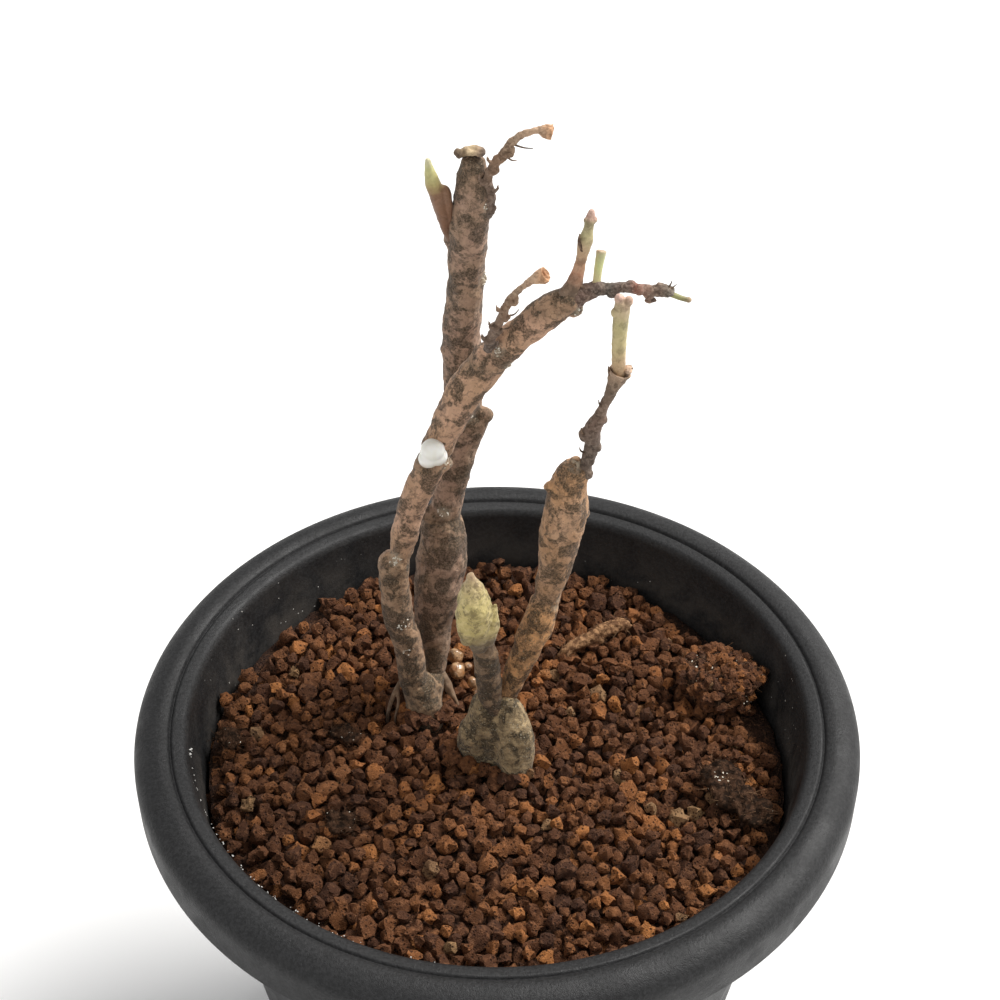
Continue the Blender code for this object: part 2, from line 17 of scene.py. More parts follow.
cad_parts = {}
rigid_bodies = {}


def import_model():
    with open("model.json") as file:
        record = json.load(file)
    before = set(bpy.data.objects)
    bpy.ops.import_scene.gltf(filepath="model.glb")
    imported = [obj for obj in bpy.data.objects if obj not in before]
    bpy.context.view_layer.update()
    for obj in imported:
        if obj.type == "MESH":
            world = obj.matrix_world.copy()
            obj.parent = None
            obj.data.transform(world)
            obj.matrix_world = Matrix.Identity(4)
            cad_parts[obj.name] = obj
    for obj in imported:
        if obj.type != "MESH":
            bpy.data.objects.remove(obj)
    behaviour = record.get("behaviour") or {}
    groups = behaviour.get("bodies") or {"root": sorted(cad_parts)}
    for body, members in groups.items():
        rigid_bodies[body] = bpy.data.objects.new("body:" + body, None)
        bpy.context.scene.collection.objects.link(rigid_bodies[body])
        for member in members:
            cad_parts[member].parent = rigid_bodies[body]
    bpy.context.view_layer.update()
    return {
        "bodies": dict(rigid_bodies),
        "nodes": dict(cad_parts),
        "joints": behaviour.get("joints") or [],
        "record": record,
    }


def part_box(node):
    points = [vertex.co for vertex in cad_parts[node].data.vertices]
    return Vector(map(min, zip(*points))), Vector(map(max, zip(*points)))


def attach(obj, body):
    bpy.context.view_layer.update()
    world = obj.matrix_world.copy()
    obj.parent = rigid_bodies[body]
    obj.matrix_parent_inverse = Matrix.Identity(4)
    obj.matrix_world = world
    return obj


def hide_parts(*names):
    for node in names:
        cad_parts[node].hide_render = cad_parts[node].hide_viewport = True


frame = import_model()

MM = 0.001
print("CAD nodes:", len(frame["nodes"]))

# %% [markdown]
# ## Stage, light and camera
# A small plant is usually shown on a white table under a large soft light. One big lamp above and
# behind to the right models the stems and leaves dark gaps in the clay, a weak one in front on the
# left opens up the dark side, and the white world fills the rest. The camera looks down at about
# forty degrees, close to the pot, so the lens is a little longer than normal.

# %% Floor, lamps and world
POT_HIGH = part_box("pot")[1]
POT_HEIGHT = POT_HIGH.z
RIM_RADIUS = POT_HIGH.x


def new_object(name, mesh):
    """Links a mesh as an object at the origin."""
    made = bpy.data.objects.new(name, mesh)
    bpy.context.scene.collection.objects.link(made)
    return made


def soft_lamp(name, place, aim, size, power, colour=(1.0, 1.0, 1.0)):
    """A square area lamp that points at a place."""
    light = bpy.data.lights.new(name, "AREA")
    light.size = size
    light.energy = power
    light.color = colour
    lamp = new_object(name, light)
    lamp.location = place
    lamp.rotation_euler = (Vector(aim) - Vector(place)).to_track_quat("-Z", "Y").to_euler()
    return lamp


FLOOR_REACH = 3.0
floor_mesh = bpy.data.meshes.new("studio_floor")
corners = [(x * FLOOR_REACH, y * FLOOR_REACH, 0.0) for x, y in ((-1, -1), (1, -1), (1, 1), (-1, 1))]
floor_mesh.from_pydata(corners, [], [(0, 1, 2, 3)])
floor = new_object("studio_floor", floor_mesh)
paper = bpy.data.materials.new("studio_paper")
paper.use_nodes = True
paper.node_tree.nodes["Principled BSDF"].inputs["Base Color"].default_value = (0.93, 0.93, 0.93, 1)
paper.node_tree.nodes["Principled BSDF"].inputs["Roughness"].default_value = 0.9
floor.data.materials.append(paper)

AIM = (0.0, 0.0, 0.09)
soft_lamp("key_lamp", (0.78, 0.38, 1.22), AIM, 0.60, 29.0, (1.0, 0.985, 0.96))
soft_lamp("front_lamp", (-0.60, -0.80, 0.90), AIM, 0.90, 3.0)
world = bpy.data.worlds.new("white_tent")
bpy.context.scene.world = world
world.use_nodes = True
world.node_tree.nodes["Background"].inputs["Color"].default_value = (1.0, 1.0, 1.0, 1.0)
world.node_tree.nodes["Background"].inputs["Strength"].default_value = 0.42
bpy.context.scene.view_settings.view_transform = "Standard"
print("lamps: 2, floor reach in m:", FLOOR_REACH)

# %% Camera
CAMERA_PLACE = (0.000355, -0.157254, 0.237599)
CAMERA_TILT = math.radians(50.67)  # up from straight down
camera_data = bpy.data.cameras.new("camera")
camera_data.lens = 64.8
camera_data.sensor_width = 36.0
camera = new_object("camera", camera_data)
camera.location = CAMERA_PLACE
camera.rotation_euler = (CAMERA_TILT, 0.0, 0.0)
bpy.context.scene.camera = camera
print("camera height in mm:", round(camera.location.z / MM, 1))

# %% [markdown]
# ## Small tools for node trees
# Every finish below is a node tree, so one short helper adds a node, sets its options and wires its
# inputs. A second one mixes two colours by a mask, and a third turns one range of values into another.

# %% Node helpers


def add_node(tree, kind, inputs=None, **settings):
    """Adds a node. inputs maps a socket's name or number to a value or to another node's output."""
    made = tree.nodes.new(kind)
    for key, value in settings.items():
        setattr(made, key, value)
    for key, value in (inputs or {}).items():
        if isinstance(value, bpy.types.NodeSocket):
            tree.links.new(value, made.inputs[key])
        else:
            made.inputs[key].default_value = value
    return made


def math_node(tree, operation, *values):
    """A Math node's result."""
    inputs = dict(enumerate(values))
    return add_node(tree, "ShaderNodeMath", inputs, operation=operation).outputs[0]


def vector_node(tree, operation, *values, **scale):
    """A Vector Math node's vector result."""
    inputs = dict(enumerate(values))
    if scale:
        inputs["Scale"] = scale["scale"]
    return add_node(tree, "ShaderNodeVectorMath", inputs, operation=operation).outputs[0]


def blend(tree, mask, first, second, mode="MIX"):
    """A colour between two colours: first where the mask is 0, second where it is 1."""
    inputs = {0: mask, 6: first, 7: second}
    settings = {"data_type": "RGBA", "blend_type": mode}
    return add_node(tree, "ShaderNodeMix", inputs, **settings).outputs[2]


def fit(tree, value, low, high, to_low=0.0, to_high=1.0):
    """Moves a value's range low to high onto another, smoothly and clamped."""
    inputs = {0: value, 1: low, 2: high, 3: to_low, 4: to_high}
    return add_node(tree, "ShaderNodeMapRange", inputs, interpolation_type="SMOOTHSTEP").outputs[0]


def ramp(tree, value, stops, interpolation="LINEAR"):
    """A colour ramp's colour. stops are pairs of place and linear colour."""
    made = add_node(tree, "ShaderNodeValToRGB", {0: value})
    made.color_ramp.interpolation = interpolation
    while len(made.color_ramp.elements) < len(stops):
        made.color_ramp.elements.new(0.5)
    for element, (place, colour) in zip(made.color_ramp.elements, stops):
        element.position = place
        element.color = (*colour, 1.0)
    return made.outputs[0]


def cloud(tree, place, scale, detail=2.0, roughness=0.5, distortion=0.0):
    """A noise value, about 0.5 in the middle. scale is features per metre."""
    inputs = {"Vector": place, "Scale": scale, "Detail": detail, "Roughness": roughness}
    inputs["Distortion"] = distortion
    return add_node(tree, "ShaderNodeTexNoise", inputs).outputs[0]


def rgb(red, green, blue):
    """A linear colour with full alpha."""
    return (red, green, blue, 1.0)


# %% [markdown]
# ## Shared effects as shader groups
# The same few effects turn up on bark, clay, fibre and plastic: ragged patches, fine relief with
# pores, and scattered specks. Each is a node group with named inputs, built once. A material places
# it with its own values and keeps the Principled shader to itself.

# %% Group: ragged patches


def new_group(name, inputs, outputs):
    """An empty shader group with its input and output nodes. inputs maps a name to kind and default."""
    tree = bpy.data.node_groups.new(name, "ShaderNodeTree")
    for label, (kind, default) in inputs.items():
        socket = tree.interface.new_socket(label, in_out="INPUT", socket_type="NodeSocket" + kind)
        if default is not None:
            socket.default_value = default
    for label, kind in outputs.items():
        tree.interface.new_socket(label, in_out="OUTPUT", socket_type="NodeSocket" + kind)
    return tree, tree.nodes.new("NodeGroupInput").outputs, tree.nodes.new("NodeGroupOutput")


def build_patches():
    """Shader group: a ragged mask from wide noise with fine noise on its edge."""
    inputs = {
        "Vector": ("Vector", None),
        "Scale": ("Float", 500.0),
        "Level": ("Float", 0.5),
        "Softness": ("Float", 0.08),
        "Raggedness": ("Float", 0.5),
    }
    tree, given, result = new_group("Ragged patches", inputs, {"Mask": "Float"})
    wide = cloud(tree, given["Vector"], given["Scale"], 2.0, 0.55, 0.6)
    fine_scale = math_node(tree, "MULTIPLY", given["Scale"], 6.0)
    fine = cloud(tree, given["Vector"], fine_scale, 5.0, 0.75)
    wobble = math_node(tree, "MULTIPLY", math_node(tree, "SUBTRACT", fine, 0.5), given["Raggedness"])
    total = math_node(tree, "ADD", wide, wobble)
    low = math_node(tree, "SUBTRACT", given["Level"], given["Softness"])
    high = math_node(tree, "ADD", given["Level"], given["Softness"])
    tree.links.new(fit(tree, total, low, high), result.inputs["Mask"])
    return tree


PATCHES = build_patches()
print("group:", PATCHES.name)

# %% Group: fine relief with pores


def build_relief():
    """Shader group: lumps and grain with pores sunk into them, and the pores as a mask."""
    inputs = {
        "Vector": ("Vector", None),
        "Scale": ("Float", 1500.0),
        "Pores": ("Float", 0.5),
        "Grain": ("Float", 0.5),
    }
    tree, given, result = new_group("Fine relief", inputs, {"Height": "Float", "Cavity": "Float"})
    lumps = cloud(tree, given["Vector"], given["Scale"], 4.0, 0.6)
    grain_scale = math_node(tree, "MULTIPLY", given["Scale"], 4.0)
    grain = cloud(tree, given["Vector"], grain_scale, 2.0, 0.6)
    cells = {"Vector": given["Vector"], "Scale": given["Scale"], "Randomness": 1.0}
    pore = add_node(tree, "ShaderNodeTexVoronoi", cells, feature="F1").outputs["Distance"]
    hole = fit(tree, pore, 0.12, 0.38, 1.0, 0.0)
    cavity = math_node(tree, "MULTIPLY", hole, given["Pores"])
    rough = math_node(tree, "MULTIPLY", grain, given["Grain"])
    height = math_node(tree, "SUBTRACT", math_node(tree, "ADD", lumps, rough), cavity)
    tree.links.new(height, result.inputs["Height"])
    tree.links.new(cavity, result.inputs["Cavity"])
    return tree


RELIEF = build_relief()
print("group:", RELIEF.name)

# %% Group: scattered specks


def build_specks():
    """Shader group: a mask of scattered round specks."""
    inputs = {
        "Vector": ("Vector", None),
        "Scale": ("Float", 2500.0),
        "Share": ("Float", 0.2),
        "Size": ("Float", 0.3),
    }
    tree, given, result = new_group("Scattered specks", inputs, {"Mask": "Float"})
    wobble = add_node(
        tree, "ShaderNodeTexNoise", {"Vector": given["Vector"], "Scale": given["Scale"]}
    ).outputs["Color"]
    shift = vector_node(tree, "SCALE", wobble, scale=0.0004)
    place = vector_node(tree, "ADD", given["Vector"], shift)
    cells = {"Vector": place, "Scale": given["Scale"], "Randomness": 1.0}
    found = add_node(tree, "ShaderNodeTexVoronoi", cells, feature="F1")
    inner = math_node(tree, "MULTIPLY", given["Size"], 0.6)
    dot = fit(tree, found.outputs["Distance"], inner, given["Size"], 1.0, 0.0)
    chosen = add_node(tree, "ShaderNodeSeparateColor", {0: found.outputs["Color"]}).outputs[0]
    kept = math_node(tree, "LESS_THAN", chosen, given["Share"])
    tree.links.new(math_node(tree, "MULTIPLY", dot, kept), result.inputs["Mask"])
    return tree


SPECKS = build_specks()
print("group:", SPECKS.name)


# %% Starting a material


def start_material(name, roughness, **constants):
    """A material with a Principled shader. Returns it, its tree, its shader and its object place."""
    made = bpy.data.materials.new(name)
    made.use_nodes = True
    tree = made.node_tree
    shader = tree.nodes["Principled BSDF"]
    shader.inputs["Roughness"].default_value = roughness
    for label, value in constants.items():
        shader.inputs[label.replace("_", " ")].default_value = value
    place = add_node(tree, "ShaderNodeTexCoord").outputs["Object"]
    return made, tree, shader, place


def place_group(tree, group, **values):
    """Puts a shared group in a material and returns its outputs."""
    made = tree.nodes.new("ShaderNodeGroup")
    made.node_tree = group
    for label, value in values.items():
        if isinstance(value, bpy.types.NodeSocket):
            tree.links.new(value, made.inputs[label])
        else:
            made.inputs[label].default_value = value
    return made.outputs


def wire(tree, shader, **links):
    """Wires values into the shader's sockets by name, with spaces written as underscores."""
    for label, value in links.items():
        tree.links.new(value, shader.inputs[label.replace("_", " ")])


def bump(tree, height, distance, strength=1.0, base=None):
    """A Bump node's normal. distance is the relief's depth in metres."""
    inputs = {"Height": height, "Distance": distance, "Strength": strength}
    if base is not None:
        inputs["Normal"] = base
    return add_node(tree, "ShaderNodeBump", inputs).outputs[0]


# %% [markdown]
# ## The nursery pot
# A pot like this is injection moulded in one shot of black polypropylene: a thin tapering wall, a
# rolled lip with a hanging skirt that stiffens it, and a floor raised on a foot ring. A turned shape
# follows the mould: one half section, spun round the axis. The drain slots repeat round the floor and
# the notches round the foot, so a Geometry Nodes tree places one cutter many times, and a Boolean
# takes them out.

# %% Pot section
LIP_WIDTH = 5.5 * MM
LIP_DROP = 6.8 * MM
LIP_ROLL = 2.8 * MM
CREST_WIDTH = 3.4 * MM
WALL = 1.2 * MM
BASE_RADIUS = 28.5 * MM
FOOT_WIDTH = 1.8 * MM
FOOT_HEIGHT = 2.8 * MM
FLOOR = 1.4 * MM
BODY_RADIUS = RIM_RADIUS - LIP_WIDTH
FLOOR_TOP = FOOT_HEIGHT + FLOOR
TURNS = 192  # facets round the pot


def outer_radius(height):
    """Radius of the tapering body's outside."""
    return BASE_RADIUS + (BODY_RADIUS - BASE_RADIUS) * height / POT_HEIGHT


def inner_radius(height):
    """Radius of the tapering body's inside."""
    return outer_radius(height) - WALL


def rounded(points, radius, steps=3):
    """A section's points with every corner rounded, by a radius that its sides can carry."""
    made = []
    for index, point in enumerate(points):
        here = Vector(point)
        if index in (0, len(points) - 1):
            made.append(here)
            continue
        before, after = Vector(points[index - 1]) - here, Vector(points[index + 1]) - here
        reach = min(radius, before.length * 0.42, after.length * 0.42)
        start, end = here + before.normalized() * reach, here + after.normalized() * reach
        for step in range(steps + 1):
            share = step / steps
            made.append(start.lerp(here, share).lerp(here.lerp(end, share), share))
    return made


def pot_section():
    """From the axis under the floor, out, up, over the lip and back inside to the axis."""
    skirt_inner = RIM_RADIUS - WALL
    skirt_bottom = POT_HEIGHT - LIP_DROP
    under_lip = POT_HEIGHT - LIP_ROLL
    crest = RIM_RADIUS - CREST_WIDTH
    foot_inner = BASE_RADIUS - FOOT_WIDTH
    neck = outer_radius(under_lip)
    lower = [(0.0, FOOT_HEIGHT), (foot_inner, FOOT_HEIGHT), (foot_inner, 0.0), (BASE_RADIUS, 0.0)]
    lower += [(neck, under_lip), (neck + WALL, under_lip + WALL)]
    lower += [(skirt_inner - WALL, under_lip + WALL), (skirt_inner, under_lip)]
    lower += [(skirt_inner - 0.2 * MM, skirt_bottom), (RIM_RADIUS, skirt_bottom)]
    lower += [(RIM_RADIUS, POT_HEIGHT - LIP_ROLL)]
    roll = []
    for step in range(1, 11):
        turn = math.radians(90.0) * (1.0 - step / 11)
        roll.append((crest + CREST_WIDTH * math.sin(turn), POT_HEIGHT - LIP_ROLL * (1 - math.cos(turn))))
    ledge = inner_radius(POT_HEIGHT)
    upper = [(crest, POT_HEIGHT), (crest - 0.9 * MM, POT_HEIGHT - 0.3 * MM)]
    upper += [(crest - 1.15 * MM, POT_HEIGHT - 0.85 * MM), (crest - 1.45 * MM, POT_HEIGHT - 0.45 * MM)]
    upper += [(ledge + 0.5 * MM, POT_HEIGHT - 0.7 * MM), (ledge, POT_HEIGHT - 1.4 * MM)]
    upper += [(inner_radius(FLOOR_TOP), FLOOR_TOP), (0.0, FLOOR_TOP)]
    return rounded(lower, 0.35 * MM) + roll + rounded(upper, 0.35 * MM)


section = pot_section()
print("pot section points:", len(section), "height in mm:", round(POT_HEIGHT / MM, 1))

# %% Turn the pot


def finished(shape, name):
    """A bmesh as a mesh with its doubles merged and its faces outward."""
    bmesh.ops.remove_doubles(shape, verts=shape.verts, dist=0.0005 * MM)
    bmesh.ops.recalc_face_normals(shape, faces=shape.faces)
    mesh = bpy.data.meshes.new(name)
    shape.to_mesh(mesh)
    shape.free()
    mesh.shade_smooth()
    return mesh


def turned(name, points, turns):
    """Spins a half section about the upright axis."""
    shape = bmesh.new()
    line = [shape.verts.new((point[0], 0.0, point[1])) for point in points]
    edges = [shape.edges.new(pair) for pair in zip(line, line[1:])]
    centre = {"cent": (0, 0, 0), "axis": (0, 0, 1), "angle": math.radians(360.0)}
    bmesh.ops.spin(shape, geom=line + edges, steps=turns, use_merge=True, **centre)
    return finished(shape, name)


pot = new_object("nursery_pot", turned("nursery_pot", section, TURNS))
print("pot faces:", len(pot.data.polygons))

# %% A tree that repeats a cutter round the axis


def start_geometry_tree(name, inputs):
    """An empty Geometry Nodes tree with named inputs. inputs maps a name to kind and default."""
    tree = bpy.data.node_groups.new(name, "GeometryNodeTree")
    tree.is_modifier = True
    tree.interface.new_socket("Geometry", in_out="INPUT", socket_type="NodeSocketGeometry")
    for label, (kind, default) in inputs.items():
        socket = tree.interface.new_socket(label, in_out="INPUT", socket_type="NodeSocket" + kind)
        if default is not None:
            socket.default_value = default
    tree.interface.new_socket("Geometry", in_out="OUTPUT", socket_type="NodeSocketGeometry")
    return tree, tree.nodes.new("NodeGroupInput").outputs, tree.nodes.new("NodeGroupOutput")


def grow_from_tree(name, mesh, tree, **values):
    """Runs a tree on a mesh and returns the result as one plain object."""
    holder = new_object(name + "_source", mesh)
    modifier = holder.modifiers.new(tree.name, "NODES")
    modifier.node_group = tree
    for socket in tree.interface.items_tree:
        key = socket.name.replace(" ", "_")
        if socket.in_out == "INPUT" and key in values:
            modifier[socket.identifier] = values[key]
    view = bpy.context.evaluated_depsgraph_get()
    made = bpy.data.meshes.new_from_object(holder.evaluated_get(view))
    made.name = name
    bpy.data.objects.remove(holder)
    return new_object(name, made)


def build_ring_tree():
    """Geometry tree: round-ended slot cutters in a ring round the axis."""
    inputs = {
        "Count": ("Int", 8),
        "Radius": ("Float", 0.016),
        "Length": ("Float", 0.009),
        "Width": ("Float", 0.003),
        "Height": ("Float", 0.004),
        "Turn": ("Float", 0.0),
        "Level": ("Float", 0.0),
    }
    tree, given, result = start_geometry_tree("Ring of slots", inputs)
    point = add_node(tree, "GeometryNodeMeshLine", {"Count": given["Count"]}).outputs[0]
    index = add_node(tree, "GeometryNodeInputIndex").outputs[0]
    share = math_node(tree, "DIVIDE", index, given["Count"])
    turn = math_node(tree, "ADD", math_node(tree, "MULTIPLY", share, math.tau), given["Turn"])
    along = math_node(tree, "MULTIPLY", math_node(tree, "COSINE", turn), given["Radius"])
    across = math_node(tree, "MULTIPLY", math_node(tree, "SINE", turn), given["Radius"])
    place = add_node(tree, "ShaderNodeCombineXYZ", {0: along, 1: across, 2: given["Level"]}).outputs[0]
    spun = add_node(tree, "ShaderNodeCombineXYZ", {2: turn}).outputs[0]
    moved = add_node(tree, "GeometryNodeSetPosition", {"Geometry": point, "Position": place}).outputs[0]
    body = math_node(tree, "SUBTRACT", given["Length"], given["Width"])
    half = math_node(tree, "DIVIDE", given["Width"], 2.0)
    rod = {"Radius": half, "Depth": given["Height"], "Vertices": 20}
    end = add_node(tree, "GeometryNodeMeshCylinder", rod).outputs[0]
    reach = math_node(tree, "DIVIDE", body, 2.0)
    back = math_node(tree, "MULTIPLY", reach, -1.0)
    ends = []
    for side in (reach, back):
        shift = add_node(tree, "ShaderNodeCombineXYZ", {0: side}).outputs[0]
        moved_end = {"Geometry": end, "Translation": shift}
        ends.append(add_node(tree, "GeometryNodeTransform", moved_end).outputs[0])
    joined = add_node(tree, "GeometryNodeJoinGeometry")
    for piece in ends:
        tree.links.new(piece, joined.inputs[0])
    slot = add_node(tree, "GeometryNodeConvexHull", {0: joined.outputs[0]}).outputs[0]
    copies = {"Points": moved, "Instance": slot, "Rotation": spun}
    ring = add_node(tree, "GeometryNodeInstanceOnPoints", copies).outputs[0]
    plain = add_node(tree, "GeometryNodeRealizeInstances", {0: ring}).outputs[0]
    tree.links.new(plain, result.inputs[0])
    return tree


RING = build_ring_tree()
slot_values = {"Count": 8, "Radius": 16 * MM, "Length": 9 * MM, "Width": 3 * MM}
slots = grow_from_tree(
    "drain_slots", bpy.data.meshes.new("slots"), RING, Height=6 * MM, Level=FLOOR_TOP, **slot_values
)
notch_values = {"Count": 4, "Radius": BASE_RADIUS, "Length": 12 * MM, "Width": 5 * MM}
notches = grow_from_tree(
    "foot_notches", bpy.data.meshes.new("notches"), RING,
    Height=4 * MM, Turn=math.radians(45.0), **notch_values
)
print("cutters:", len(slots.data.vertices), len(notches.data.vertices))

# %% Cut the slots and notches


def cut_with(target, cutters):
    """Takes the cutters out of a piece and removes them."""
    for cutter in cutters:
        boolean = target.modifiers.new("cut", "BOOLEAN")
        boolean.operation = "DIFFERENCE"
        boolean.solver = "EXACT"
        boolean.object = cutter
    view = bpy.context.evaluated_depsgraph_get()
    mesh = bpy.data.meshes.new_from_object(target.evaluated_get(view))
    target.modifiers.clear()
    target.data = mesh
    for cutter in cutters:
        bpy.data.objects.remove(cutter)


cut_with(pot, [slots, notches])
pot.data.shade_smooth()
pot.data.set_sharp_from_angle(angle=math.radians(32.0))
print("pot faces after cutting:", len(pot.data.polygons))

# %% [markdown]
# ### Black moulded plastic
# The plastic is nearly black and matt, with a fine grain from the mould that breaks up its
# reflections. Inside, watering has left a thin grey film near the soil, and hard water has dried to
# white specks, so both masks work from the height and the radius.

# %% Plastic material
HEADSPACE = 8.5 * MM
SOIL_LEVEL = POT_HEIGHT - HEADSPACE


def plastic_material():
    """Black moulded plastic, with a dusty film and pale specks on its inside above the soil."""
    made, tree, shader, place = start_material("black_moulded_plastic", 0.5)
    shader.inputs["Specular IOR Level"].default_value = 0.34
    axes = add_node(tree, "ShaderNodeSeparateXYZ", {0: place}).outputs
    flat = add_node(tree, "ShaderNodeCombineXYZ", {0: axes[0], 1: axes[1]}).outputs[0]
    radius = add_node(tree, "ShaderNodeVectorMath", {0: flat}, operation="LENGTH").outputs["Value"]
    taper = math_node(tree, "MULTIPLY", axes[2], (BODY_RADIUS - BASE_RADIUS) / POT_HEIGHT)
    depth = math_node(tree, "SUBTRACT", radius, math_node(tree, "ADD", taper, BASE_RADIUS))
    within = fit(tree, depth, -0.8 * WALL, -0.5 * WALL, 1.0, 0.0)
    above = fit(tree, axes[2], SOIL_LEVEL - 3.0 * MM, SOIL_LEVEL, 0.0, 1.0)
    inside = math_node(tree, "MULTIPLY", within, above)
    low = fit(tree, axes[2], POT_HEIGHT - 9.0 * MM, POT_HEIGHT - 2.0 * MM, 1.0, 0.25)
    stain = place_group(tree, PATCHES, Vector=place, Scale=180.0, Level=0.5, Softness=0.2)["Mask"]
    film = math_node(tree, "MULTIPLY", math_node(tree, "MULTIPLY", inside, low), stain)
    specks = place_group(tree, SPECKS, Vector=place, Scale=1900.0, Share=0.08, Size=0.20)["Mask"]
    drift = place_group(tree, PATCHES, Vector=place, Scale=70.0, Level=0.52, Softness=0.06)["Mask"]
    dots = math_node(tree, "MULTIPLY", math_node(tree, "MULTIPLY", specks, drift), inside)
    tone = fit(tree, cloud(tree, place, 2400.0, 3.0, 0.7), 0.35, 0.68)
    black = blend(tree, tone, rgb(0.0100, 0.0100, 0.0105), rgb(0.024, 0.024, 0.025))
    dusty = blend(tree, math_node(tree, "MULTIPLY", film, 0.5), black, rgb(0.085, 0.072, 0.060))
    colour = blend(tree, dots, dusty, rgb(0.62, 0.60, 0.56))
    relief = place_group(tree, RELIEF, Vector=place, Scale=2000.0, Pores=0.3, Grain=0.9)["Height"]
    matt = fit(tree, cloud(tree, place, 260.0, 3.0), 0.35, 0.65, 0.46, 0.60)
    rough = math_node(tree, "ADD", matt, math_node(tree, "MULTIPLY", film, 0.3))
    wire(tree, shader, Base_Color=colour, Roughness=rough, Normal=bump(tree, relief, 0.06 * MM, 0.8))
    return made


pot.data.materials.clear()
pot.data.materials.append(plastic_material())
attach(pot, "root")
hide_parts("pot")
print("pot finished, top at mm:", round(max(v.co.z for v in pot.data.vertices) / MM, 2))

# %% [markdown]
# ## The bed of clay granules
# The soil is a graded baked clay: hard porous grains, two to three millimetres across, with no fine
# dust between them. Each grain lies on the ones below and leaves dark gaps, and those gaps make it look
# loose. So the grains are first settled like real ones: each drops at a random place, rolls down until
# it rests on its neighbours, and stays if it isn't above the soil's level. A Geometry Nodes tree then
# puts a chipped grain on every resting point, each with its own cuts.

# %% The soil's surface and what stands in it
SOIL_FALL_RIGHT = 0.032
SOIL_RISE_BACK = 0.021
SOIL_EDGE_RISE = 0.5 * MM
SOIL_LUMPS = 0.35 * MM
BED_DEPTH = 4.6 * MM  # how deep the separate grains go
GRAIN_RADIUS = (0.74 * MM, 1.48 * MM)


def soil_top(x, y):
    """Height of the soil's surface."""
    out = math.hypot(x, y) / BODY_RADIUS
    lumps = noise.noise(Vector((x, y, 0.0)) / (7.0 * MM)) * SOIL_LUMPS
    return SOIL_LEVEL - SOIL_FALL_RIGHT * x + SOIL_RISE_BACK * y + SOIL_EDGE_RISE * out**2 + lumps


# Where plants and roots go through the soil: x, y and radius in millimetres.
STANDING = [(-9.2, 7.0, 1.9), (-2.5, -0.3, 2.1), (2.2, -2.5, 1.9), (-0.2, -0.9, 2.0)]
STANDING += [(-14.3, 6.2, 0.2)]
STANDING = [[value * MM for value in row] for row in STANDING]
print("soil level in mm:", round(SOIL_LEVEL / MM, 1))

# %% Settle the grains


def rest_heights(places, radius, near):
    """The height at which a grain comes to rest over each of some places."""
    ground = [soil_top(x, y) - BED_DEPTH + radius for x, y in places]
    heights = np.array(ground)
    if len(near):
        apart = ((places[:, None, :] - near[None, :, :2]) ** 2).sum(axis=2)
        lift = (near[None, :, 3] + radius) ** 2 - apart
        on_top = np.where(lift > 0, near[None, :, 2] + np.sqrt(np.maximum(lift, 0)), -1.0)
        heights = np.maximum(heights, on_top.max(axis=1))
    return heights


def is_free(x, y, radius, height):
    """True where a grain clears the pot's wall and everything that stands in the soil."""
    if math.hypot(x, y) > inner_radius(height) - radius * 0.80:
        return False
    return all(math.hypot(x - a, y - b) > r + radius * 0.8 for a, b, r in STANDING)


def settle(seed, tries, ceiling):
    """Drops grains until none fits under the ceiling. Returns x, y, z and radius of each."""
    rng = np.random.default_rng(seed)
    cell = 2.0 * GRAIN_RADIUS[1]
    grid = {}
    resting = []
    around = [(math.cos(a), math.sin(a)) for a in np.arange(6) * math.tau / 6]
    directions = np.array([(0.0, 0.0)] + around)
    for _ in range(tries):
        radius = GRAIN_RADIUS[0] + (GRAIN_RADIUS[1] - GRAIN_RADIUS[0]) * rng.random() ** 1.3
        reach = (BODY_RADIUS - WALL) * math.sqrt(rng.random())
        turn = rng.random() * math.tau
        spot = np.array([reach * math.cos(turn), reach * math.sin(turn)])
        step = radius * 0.4
        column, row = int(spot[0] // cell), int(spot[1] // cell)
        near = [g for i in (-1, 0, 1) for j in (-1, 0, 1) for g in grid.get((column + i, row + j), ())]
        near = np.array(near).reshape(-1, 4)
        for _ in range(14):
            around_spot = spot + directions * step
            heights = rest_heights(around_spot, radius, near)
            best = int(heights.argmin())
            if best == 0:
                step *= 0.5
                if step < 0.05 * MM:
                    break
            spot = around_spot[best]
        height = heights[best]
        if height > soil_top(*spot) + ceiling - radius or not is_free(*spot, radius, height):
            continue
        grain = (spot[0], spot[1], height, radius)
        resting.append(grain)
        grid.setdefault((int(spot[0] // cell), int(spot[1] // cell)), []).append(grain)
    return np.array(resting)


def bank_grains(seed):
    """Grains banked against each thing that stands in the soil. Returns x, y, z and radius of each."""
    rng = np.random.default_rng(seed)
    banked = []
    for x, y, reach in STANDING[:4]:
        for turn in np.arange(0.0, math.tau, 0.42):
            radius = rng.uniform(0.8, 1.25) * MM
            gap = reach + rng.uniform(0.75, 1.3) * MM
            place = (x + gap * math.cos(turn), y + gap * math.sin(turn))
            if all(math.hypot(place[0] - a, place[1] - b) > r + 0.6 * MM for a, b, r in STANDING):
                banked.append((*place, soil_top(*place) + rng.uniform(0.1, 0.9) * MM, radius))
    return np.array(banked)


grains = settle(seed=11, tries=11500, ceiling=1.0 * MM)
grains = np.concatenate([grains, bank_grains(seed=12)])
print("grains at rest:", len(grains), "highest in mm:", round(grains[:, 2].max() / MM, 1))

# %% A tree that chips each grain


